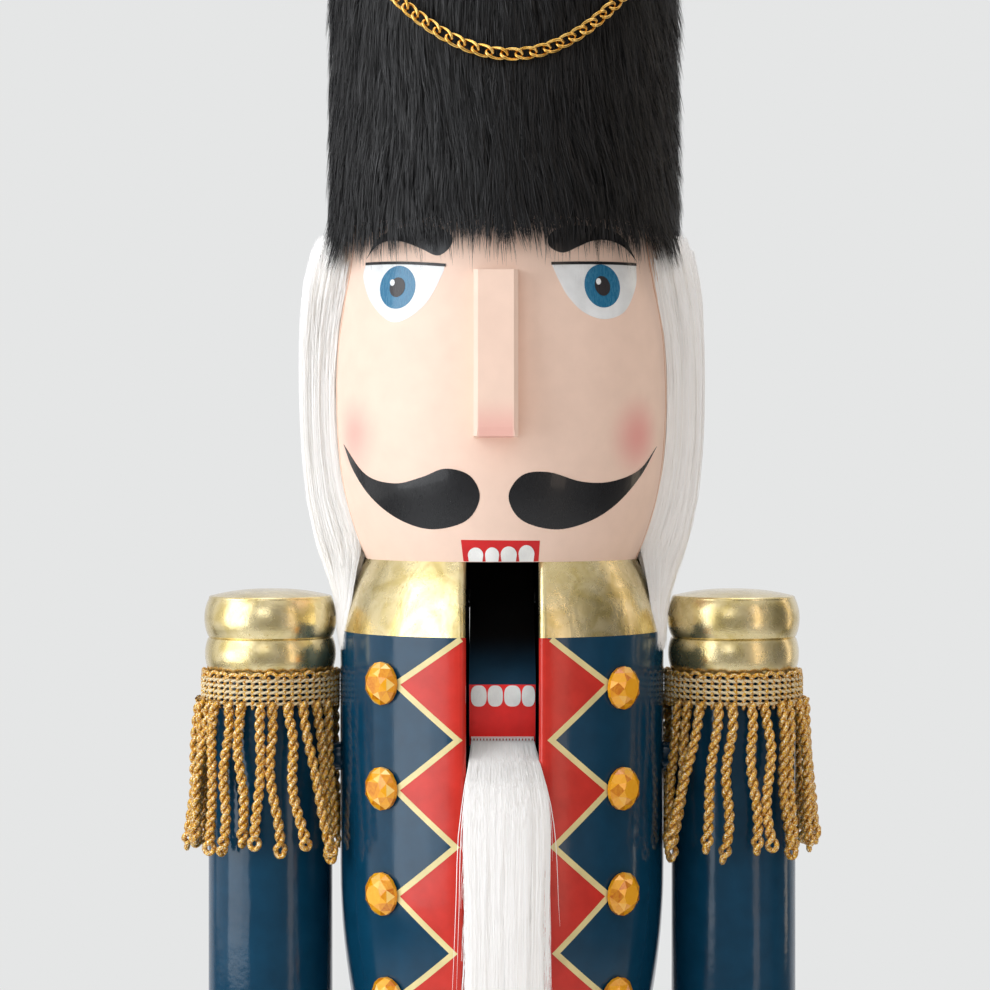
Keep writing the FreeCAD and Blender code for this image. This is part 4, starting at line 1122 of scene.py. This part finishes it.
def build_fringe(label, side, seed):
    """One shoulder's woven header and its bullion cords. The inner side is left bare, against the chest."""
    rng = np.random.default_rng(seed)
    tape_low, tape_high = low("left_fringe_tape").z, high("left_fringe_tape").z
    ring_radius = ARM_RADIUS + 1.5

    def round_arm(angle, radius, z):
        """A point about the arm's axis. Angle 0 points away from the chest."""
        return (side * (ARM_X + radius * math.cos(angle)), radius * math.sin(angle), z)

    header = Tubes()
    around = np.linspace(0, 2 * math.pi, 324, endpoint=False)
    for row in np.linspace(tape_low + 1.2, tape_high - 2.0, 5):
        for phase in (0, math.pi):
            weave = around * WARPS / 2 + phase
            header.add([round_arm(a, ring_radius + 0.75 + 0.5 * math.sin(w), row + 0.4 * math.cos(w))
                        for a, w in zip(around, weave)], WEFT_RADIUS, closed=True)
    weft_look = fabric("cream_weft", (246, 232, 196), (206, 184, 134), 0.3, 0.06)
    settle(header.build(f"{label}_fringe_weft", weft_look), "figure", "gold_thread")

    warp = Tubes()
    for i in range(WARPS):
        a = 2 * math.pi * i / WARPS
        warp.add([round_arm(a + 0.007 * math.sin(h * 2.6 + i),
                            ring_radius + 0.7 + 0.5 * math.cos(h * 2.6 + i * math.pi), h)
                  for h in np.linspace(tape_low - 0.8, tape_high - 0.6, 20)], WARP_RADIUS, lay=WARP_LAY)
    for i in range(PICOTS):
        a0 = 2 * math.pi * (i + rng.uniform(-0.12, 0.12)) / PICOTS
        lift = rng.uniform(1.5, 2.6)
        arch = [(a0 + math.pi / PICOTS * (1 - math.cos(p)), tape_high - 1.2 + lift * math.sin(p))
                for p in np.linspace(0, math.pi, 9)]
        warp.add([round_arm(a, ring_radius + 0.8 + 0.4 * math.sin(9 * a), h) for a, h in arch], PICOT_RADIUS,
                 lay=WARP_LAY)
    settle(warp.build(f"{label}_fringe_header", thread_material), "figure", "gold_thread",
           f"{label}_fringe_tape")

    cords = Tubes()
    top = tape_low + 1.6
    count = int(2 * math.pi * (ring_radius + 1) / CORD_PITCH)
    for i in range(count):
        a = 2 * math.pi * (i + 0.5) / count + rng.normal(0, 0.03)
        facing_chest = math.pi - abs(((a + math.pi) % (2 * math.pi)) - math.pi)
        if facing_chest < CHEST_GAP:
            continue
        room = min(1.0, max(0.12, (facing_chest - CHEST_GAP) / 0.8 + 0.12))
        splay = room * rng.uniform(2.4, 5.6)
        sweep = rng.uniform(9.0, 15.0) * max(0.0, 1 - abs(facing_chest - SWEEP_CENTRE) / SWEEP_SPAN)
        lean = ((1 if i % 2 else -1) * rng.uniform(0.02, 0.085) + rng.normal(0, 0.03)) * room
        bottom = low("left_fringe").z + rng.uniform(0.5, 7.5)
        bow, swing, start = rng.uniform(0.5, 1.5), rng.uniform(0.7, 1.5), rng.uniform(0, 6.3)
        axis = []
        for u in np.linspace(0, 1, 24):
            radius = ring_radius + 1.0 + CORD_PLY + splay * u ** 0.8 + 0.6 * math.sin(u * 5 + start)
            wave = bow * math.sin(u * swing * 2 * math.pi + start) * min(1.0, u * 4)
            angle = a + lean * u ** 1.3 + wave / radius
            x, y, z = round_arm(angle, radius, top + (bottom + 3.2 - top) * u)
            x, y = x - side * sweep * u ** 1.3, y + math.copysign(0.75 * sweep * u, y)
            clear = max(1.0, (CHEST_RADIUS + 3) / math.hypot(x, y))
            axis.append((x * clear, y * clear, z))
        turns = (tape_low - bottom) / CORD_TWIST * rng.uniform(0.92, 1.1)
        cords.add(cord_path(np.array(axis), turns, 84), CORD_PLY * 1.05, lay=CORD_LAY)
    settle(cords.build(f"{label}_fringe_cords", thread_material), "figure", "gold_thread", f"{label}_fringe")


# ---- painted marks ---------------------------------------------------------------------------------------
def at_chin(points):
    """Points given as (x, height above the chin) in the frame's own heights."""
    return [(x, CHIN + z) for x, z in points]


def mirror(points):
    return [(-x, z) for x, z in points][::-1]


def stroke(points, width):
    """The outline of a brush line of even width along an open row of points, with mitred corners."""
    pts = [np.array(p, dtype=float) for p in points]
    left, right = [], []
    for i, p in enumerate(pts):
        before = pts[i] - pts[i - 1] if i else pts[1] - pts[0]
        after = pts[i + 1] - pts[i] if i + 1 < len(pts) else before
        n0 = np.array([-before[1], before[0]]) / np.linalg.norm(before)
        n1 = np.array([-after[1], after[0]]) / np.linalg.norm(after)
        miter = (n0 + n1) / max(0.35, 1 + n0.dot(n1))
        left.append(p + miter * width / 2)
        right.append(p - miter * width / 2)
    return left + right[::-1]


# a painted eye, brow and half moustache on each side, as (x, height above the chin)
FACE_MARKS = {
    "left": {
        "white": [(19.5, 118.2), (22.6, 111.4), (26.4, 105.0), (32.7, 99.2), (41.0, 97.0), (49.2, 100.6),
                  (54.0, 111.0), (54.4, 119.9)],
        "lid": [(19.3, 118.5), (36.2, 119.4), (54.3, 120.3)],
        "brow": [(54.6, 121.6), (50.2, 126.2), (45.3, 128.5), (40.0, 129.1), (35.0, 128.0), (30.4, 125.8),
                 (24.0, 123.0), (18.6, 125.4), (18.6, 130.0), (25.0, 133.6), (38.0, 134.2), (48.4, 131.0)],
        "moustache": [(63.4, 46.6), (55.4, 36.8), (43.4, 32.1), (31.4, 32.1), (18.3, 35.8), (7.8, 34.6),
                      (2.4, 26.3), (7.4, 17.0), (20.6, 13.1), (33.7, 15.8), (45.4, 22.7), (55.9, 34.1)],
        "iris": (39.9, 110.3), "light": (38.2, 112.0), "lean": 8.0},
    "right": {
        "white": [(-22.9, 117.9), (-23.9, 114.3), (-30.0, 103.4), (-38.5, 96.9), (-45.6, 96.6),
                  (-53.0, 104.6), (-56.4, 114.6), (-55.6, 120.4)],
        "lid": [(-22.4, 117.9), (-38.5, 119.5), (-55.4, 120.7)],
        "brow": [(-55.2, 122.8), (-52.3, 126.2), (-48.4, 128.7), (-42.4, 128.9), (-36.9, 127.1),
                 (-32.0, 124.8), (-25.6, 121.9), (-20.6, 125.4), (-20.4, 130.0), (-26.8, 133.4),
                 (-40.0, 134.0), (-50.0, 130.8)],
        "moustache": [(-65.3, 47.6), (-55.4, 35.0), (-43.2, 31.4), (-32.0, 33.9), (-22.6, 37.2),
                      (-12.9, 34.4), (-9.0, 25.9), (-14.4, 16.6), (-28.1, 13.1), (-41.4, 16.9),
                      (-52.7, 25.3), (-60.7, 36.4)],
        "iris": (-41.9, 109.9), "light": (-43.9, 111.9), "lean": -8.0},
}
IRIS_SIZE, PUPIL_SIZE, LIGHT_SIZE = (7.3, 8.7), (3.1, 4.0), (0.98, 1.3)
LID_WIDTH = 1.15
UPPER_LIP = [(-16.5, 8.9), (-15.5, 0.25), (14.4, 0.25), (14.9, 8.6)]
# left, right and, above, the crown's height
UPPER_TEETH = (-13.7, -7.6, 5.9), (-6.9, -1.3, 6.0), (-0.7, 5.7, 6.4), (6.4, 12.7, 6.9)
LOWER_TEETH = (-12.6, -6.3), (-5.9, 0.2), (0.7, 7.4), (7.8, 13.1)
TOOTH_GRID = 1.4
JAW_LIP, JAW_LIP_DEPTH = -49.1, 25.0    # the jaw's red starts this far from the chin
GEM_RADIUS, GEM_ROWS = 8.7, 4
LAPEL_POINT = 42.6                      # the zigzag's outer points
LAPEL_GROWTH = 0.9                      # each inner point lies this much further out than the one above
LAPEL_LINE = 2.3


def paint_face():
    face = Painter("head", "figure")
    white = enamel("eye_white", (244, 246, 246), 0.25, 0.3)
    ink = enamel("ink_black", INK, 0.24, 0.25)
    iris = iris_look()
    pupil = enamel("pupil_brown_black", (48, 44, 46), 0.25, 0.3)
    for label, mark in FACE_MARKS.items():
        eye, light, lean = at_chin([mark["iris"]])[0], at_chin([mark["light"]])[0], mark["lean"]
        outline = smooth_closed(at_chin(mark["white"]), sharp=(0, len(mark["white"]) - 1))
        face.film(f"eye_white_{label}", outline, white)
        face.film(f"iris_{label}", ellipse(eye, *IRIS_SIZE, lean), iris, lift=0.2)
        face.film(f"pupil_{label}", ellipse(eye, *PUPIL_SIZE, lean * 1.6), pupil, lift=0.3)
        face.film(f"eye_light_{label}", ellipse(light, *LIGHT_SIZE), white, lift=0.4, grid=1.0)
        lid = smooth_closed(at_chin(stroke(mark["lid"], LID_WIDTH)), sharp=(0, 2, 3, 5))
        face.film(f"lid_line_{label}", lid, ink, lift=0.3)
        for part in ("brow", "moustache"):
            face.film(f"{part}_{label}", smooth_closed(at_chin(mark[part]), sharp=(0,)), ink, lift=0.14)

    red = enamel("mouth_red", MOUTH_RED, 0.3, 0.1)
    tooth = enamel("tooth_white", TOOTH, 0.22, 0.5)
    face.film("upper_lip", at_chin(UPPER_LIP), red)
    for i, (left, right, crown) in enumerate(UPPER_TEETH):
        arch = tooth_outline(left, right, 0.3, crown)
        face.film(f"upper_tooth_{i + 1}", at_chin(arch), tooth, lift=0.34, thickness=0.3, grid=TOOTH_GRID)


def tooth_outline(left, right, base, crown):
    """An upper tooth: straight at its base, with its rounded crown above."""
    middle, half = (left + right) / 2, (right - left) / 2
    inset = half * 0.12
    arch = [(middle + half * math.cos(a), base + (crown - base) * (0.46 + 0.54 * math.sin(a)))
            for a in np.linspace(math.pi, 0, 15)]
    return [(right - inset, base)] + arch[::-1] + [(left + inset, base)]


def paint_jaw():
    jaw = Painter("jaw_lever", "lever")
    half = high("jaw_lever").x - 0.15
    floor = JAW_LIP - JAW_LIP_DEPTH
    lip = at_chin([(-half, JAW_LIP), (-half, floor), (half, floor), (half, JAW_LIP)])
    # the jaw's red is painted brighter than the mouth's, as painted light in the slot's shade
    jaw.film("jaw_lip", lip, enamel("jaw_red", JAW_RED_WITH_PAINTED_LIGHT, 0.35, 0.0))
    tooth = enamel("jaw_tooth_white", TOOTH, 0.22, 0.5)
    for i, (left, right) in enumerate(LOWER_TEETH):
        oval = [((left + right) / 2 + (right - left) / 2 * squared(math.cos(a), 0.75),
                 JAW_LIP - 4.6 + 4.3 * squared(math.sin(a), 0.75))
                for a in np.linspace(0, 2 * math.pi, 44, endpoint=False)]
        jaw.film(f"lower_tooth_{i + 1}", at_chin(oval), tooth, lift=0.4, thickness=0.34, grid=TOOTH_GRID)


def paint_lapels():
    """Red lapels with a zigzag edge whose outer points meet the stones, and a cream line along it."""
    coat = Painter("torso", "figure")
    red = enamel("lapel_red", RED, 0.18, 0.05)
    cream = enamel("cream_line", CREAM, 0.3, 0.3)
    gem_low, gem_high = low("gem_buttons").z, high("gem_buttons").z
    first_row = gem_high - GEM_RADIUS
    pitch = (gem_high - gem_low - 2 * GEM_RADIUS) / (GEM_ROWS - 1)
    floor = TORSO_BOTTOM + 1.2
    edge = SLOT_HALF + 1.1
    for label, start, inner in (("left", 19.2, 19.4), ("right", 16.4, 17.6)):
        zigzag = [(start, COLLAR_BOTTOM - 0.4)]
        for row in range(GEM_ROWS):
            zigzag.append((LAPEL_POINT, first_row - pitch * row))
            zigzag.append((inner + LAPEL_GROWTH * row, first_row - pitch * (row + 0.5)))
        last_x, last_z = zigzag[-1]
        zigzag.append((last_x + (LAPEL_POINT - last_x) * (last_z - floor) / (pitch / 2), floor))
        outline = [(edge + 0.4, COLLAR_BOTTOM - 0.5)] + zigzag + [(edge, floor)]
        line = stroke(zigzag, LAPEL_LINE)
        if label == "right":
            outline, line = mirror(outline), mirror(line)
        coat.film(f"lapel_{label}", outline, red, lift=0.08, thickness=0.07)
        coat.film(f"lapel_line_{label}", line, cream, lift=0.2)


# ---- CAD pieces that keep their shape --------------------------------------------------------------------
def dress_nodes():
    """Gives every CAD piece that stays its material."""
    black = enamel("boot_black", (18, 18, 20), 0.08, 0.8)
    leaf_rolls = gold_leaf("gold_leaf_rolls", rings=True)
    raw = wood("raw_beech")
    painted = enamel("dowel_navy", NAVY)
    steel = metal("bright_steel", (206, 206, 210), (150, 150, 156), 0.3)
    board = fabric("rolled_board", (132, 104, 74), (98, 76, 52), 1.2, 0.08)
    brass = metal("gold_pins", (255, 214, 120), (196, 140, 52), 0.16)
    plinth_low, step_high = low("base_plinth").z, high("base_step").z
    looks = {
        "head": head_look(), "nose": nose_look(), "torso": torso_look(), "gem_buttons": gem_look(),
        "jaw_lever": lever_look(), "jaw_pin": steel, "base_screws": steel,
        "beard_hem": hem_look(), "hat_tube": board, "hat_top_disc": board, "chain_pins": brass,
        "belt": enamel("belt_black", (20, 20, 22), 0.2, 0.5), "belt_buckle": gold_leaf("gold_leaf_buckle"),
        "coat_skirt": skirt_look(),
        "base_felt_pad": fabric("green_felt", (34, 84, 52), (20, 56, 34), 0.9, 0.3),
        "base_plinth": base_look("plinth_green", (24, 74, 46), plinth_low + 4.5, plinth_low + 6.6),
        "base_step": base_look("step_red", RED, step_high - 11.8, step_high - 9.2),
    }
    pairs = {"arm": arm_look(), "cuff": leaf_rolls, "epaulette": leaf_rolls, "boot_cuff": leaf_rolls,
             "boot": black, "toe_cap": black, "sole": enamel("sole_brown", (54, 34, 24), 0.3, 0.3),
             "leg": leg_look(), "hand": hand_look()}
    looks.update({f"{label}_{part}": look for label in ("left", "right") for part, look in pairs.items()})
    for node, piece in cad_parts.items():
        dowel = painted if "arm" in node else raw
        material = looks.get(node, dowel if node.endswith("_dowels") else None)
        for slot in piece.material_slots if material else ():
            slot.material = material


# ---- studio ----------------------------------------------------------------------------------------------
ROOM_FRONT_TO_BACK = (-1, 0.3), (-0.55, 0.34), (-0.2, 0.14), (0.4, 0.16), (0.7, 0.72), (1, 0.72)
ROOM_FLOOR_TO_CEILING = (-1, 0.45), (-0.5, 0.3), (-0.3, 0.0), (0.35, 0.0), (0.7, 0.75), (1, 0.85)
FIGURE_MIDDLE = (0, 0, 0.6)
FLOOR_REACH = 1.8
# name, azimuth, distance, height, size, radiance, colour
SOFTBOXES = (("key", -59, 1.45, 0.85, (1.2, 1.5), 2.45, (248, 251, 255)),
             ("wash", -82, 1.5, 0.85, (2.0, 1.5), 0.75, (255, 255, 255)),
             ("fill", 40, 1.6, 0.75, (0.32, 1.5), 1.6, (255, 230, 208)),
             ("rim", 108, 1.5, 0.8, (0.22, 1.3), 1.8, (255, 232, 200)))
CAMERA_PLACE = (-0.00295, -1.0538, CHIN * MM + 0.0303)
FRAME_WIDTH = 0.4173      # what the camera sees across, at the figure's axis
CAMERA_SHIFT = -0.009
SENSOR = 36.0


def area_light(name, place, size, power, colour=(255, 255, 255)):
    data = bpy.data.lights.new(name, "AREA")
    data.shape = "RECTANGLE"
    data.size, data.size_y = size
    data.energy = power
    data.color = linear(colour)[:3]
    lamp = bpy.data.objects.new(name, data)
    lamp.location = place
    lamp.rotation_euler = (Vector(FIGURE_MIDDLE) - Vector(place)).to_track_quat("-Z", "Y").to_euler()
    bpy.context.collection.objects.link(lamp)


def softbox(name, azimuth, distance, height, size, radiance, colour):
    """A soft lamp standing round the figure, azimuth degrees from the front towards the figure's left."""
    turn = math.radians(azimuth)
    place = (distance * math.sin(turn), -distance * math.cos(turn), height)
    area_light(name, place, size, radiance * math.pi * size[0] * size[1], colour)


def build_world():
    """The room: a bright backdrop behind, dark flags at the sides, grey in front, a pale ceiling and floor.
    The camera itself sees only the plain backdrop."""
    world = bpy.data.worlds.new("studio")
    bpy.context.scene.world = world
    room = Graph(world)
    background = room.tree.nodes["Background"]
    direction = room.split(room.node("ShaderNodeTexCoord", output="Generated"))

    def stops(source, levels):
        made = room.tree.nodes.new("ShaderNodeValToRGB")
        room.feed(made.inputs[0], room.node("ShaderNodeMapRange", source, -1.0))
        made.color_ramp.interpolation = "EASE"
        while len(made.color_ramp.elements) < len(levels):
            made.color_ramp.elements.new(0.5)
        for element, (place, level) in zip(made.color_ramp.elements, levels):
            element.position = (place + 1) / 2
            element.color = (level, level, level * 1.02, 1)
        return made.outputs[0]

    round_figure = stops(direction[1], ROOM_FRONT_TO_BACK)
    overhead = stops(direction[2], ROOM_FLOOR_TO_CEILING)
    room.feed(background.inputs[0], room.mix(1.0, round_figure, overhead, "LIGHTEN"))
    to_camera = room.node("ShaderNodeLightPath", output="Is Camera Ray")
    seen = room.node("ShaderNodeBackground", BACKDROP)
    blend = room.node("ShaderNodeMixShader", to_camera, background.outputs[0], seen)
    room.feed(room.tree.nodes["World Output"].inputs["Surface"], blend)


def build_studio():
    """A pale floor that fades into the backdrop colour, soft lamps and the level camera."""
    look = Look("studio_floor", Roughness=0.7, Base_Color=(225, 227, 228))
    speck = look.noise(3.0, 3)
    look.bump((speck, 0.05))
    distance = look.node("ShaderNodeVectorMath", look.position, operation="LENGTH", output="Value")
    look.set(Alpha=look.range(distance, 1.7, 0.7, 0.0, 1.0, smooth=True))
    mesh = bpy.data.meshes.new("floor")
    corners = [(x * FLOOR_REACH, y * FLOOR_REACH, 0) for x, y in ((-1, -1), (1, -1), (1, 1), (-1, 1))]
    mesh.from_pydata(corners, [], [(0, 1, 2, 3)])
    mesh.materials.append(look.material)
    floor = bpy.data.objects.new("floor", mesh)
    floor.location.z = -0.0005
    bpy.context.collection.objects.link(floor)

    build_world()
    for lamp in SOFTBOXES:
        softbox(*lamp)
    area_light("top", (0.0, 0.1, 2.1), (1.5, 1.5), 10)
    area_light("front", (-0.35, -1.7, 1.15), (0.6, 0.6), 2.2)

    data = bpy.data.cameras.new("camera")
    data.sensor_width = SENSOR
    data.lens = SENSOR * -CAMERA_PLACE[1] / FRAME_WIDTH
    data.shift_y = CAMERA_SHIFT
    camera = bpy.data.objects.new("camera", data)
    camera.location = CAMERA_PLACE
    camera.rotation_euler = (math.pi / 2, 0, 0)
    bpy.context.collection.objects.link(camera)
    bpy.context.scene.camera = camera
    bpy.context.scene.view_settings.view_transform = "Standard"


# ---- build -----------------------------------------------------------------------------------------------
thread_material = thread_look("gold_thread", THREAD_GOLD, THREAD_DEEP, 0.42)
SIDE_TREES = [BVHTree.FromObject(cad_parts[node], bpy.context.evaluated_depsgraph_get())
              for node in ("head", "torso")]
dress_nodes()
build_hat()
build_chain()
build_hair()
build_beard()
build_fringe("left", 1, seed=51)
build_fringe("right", -1, seed=52)
paint_face()
paint_jaw()
paint_lapels()
build_studio()
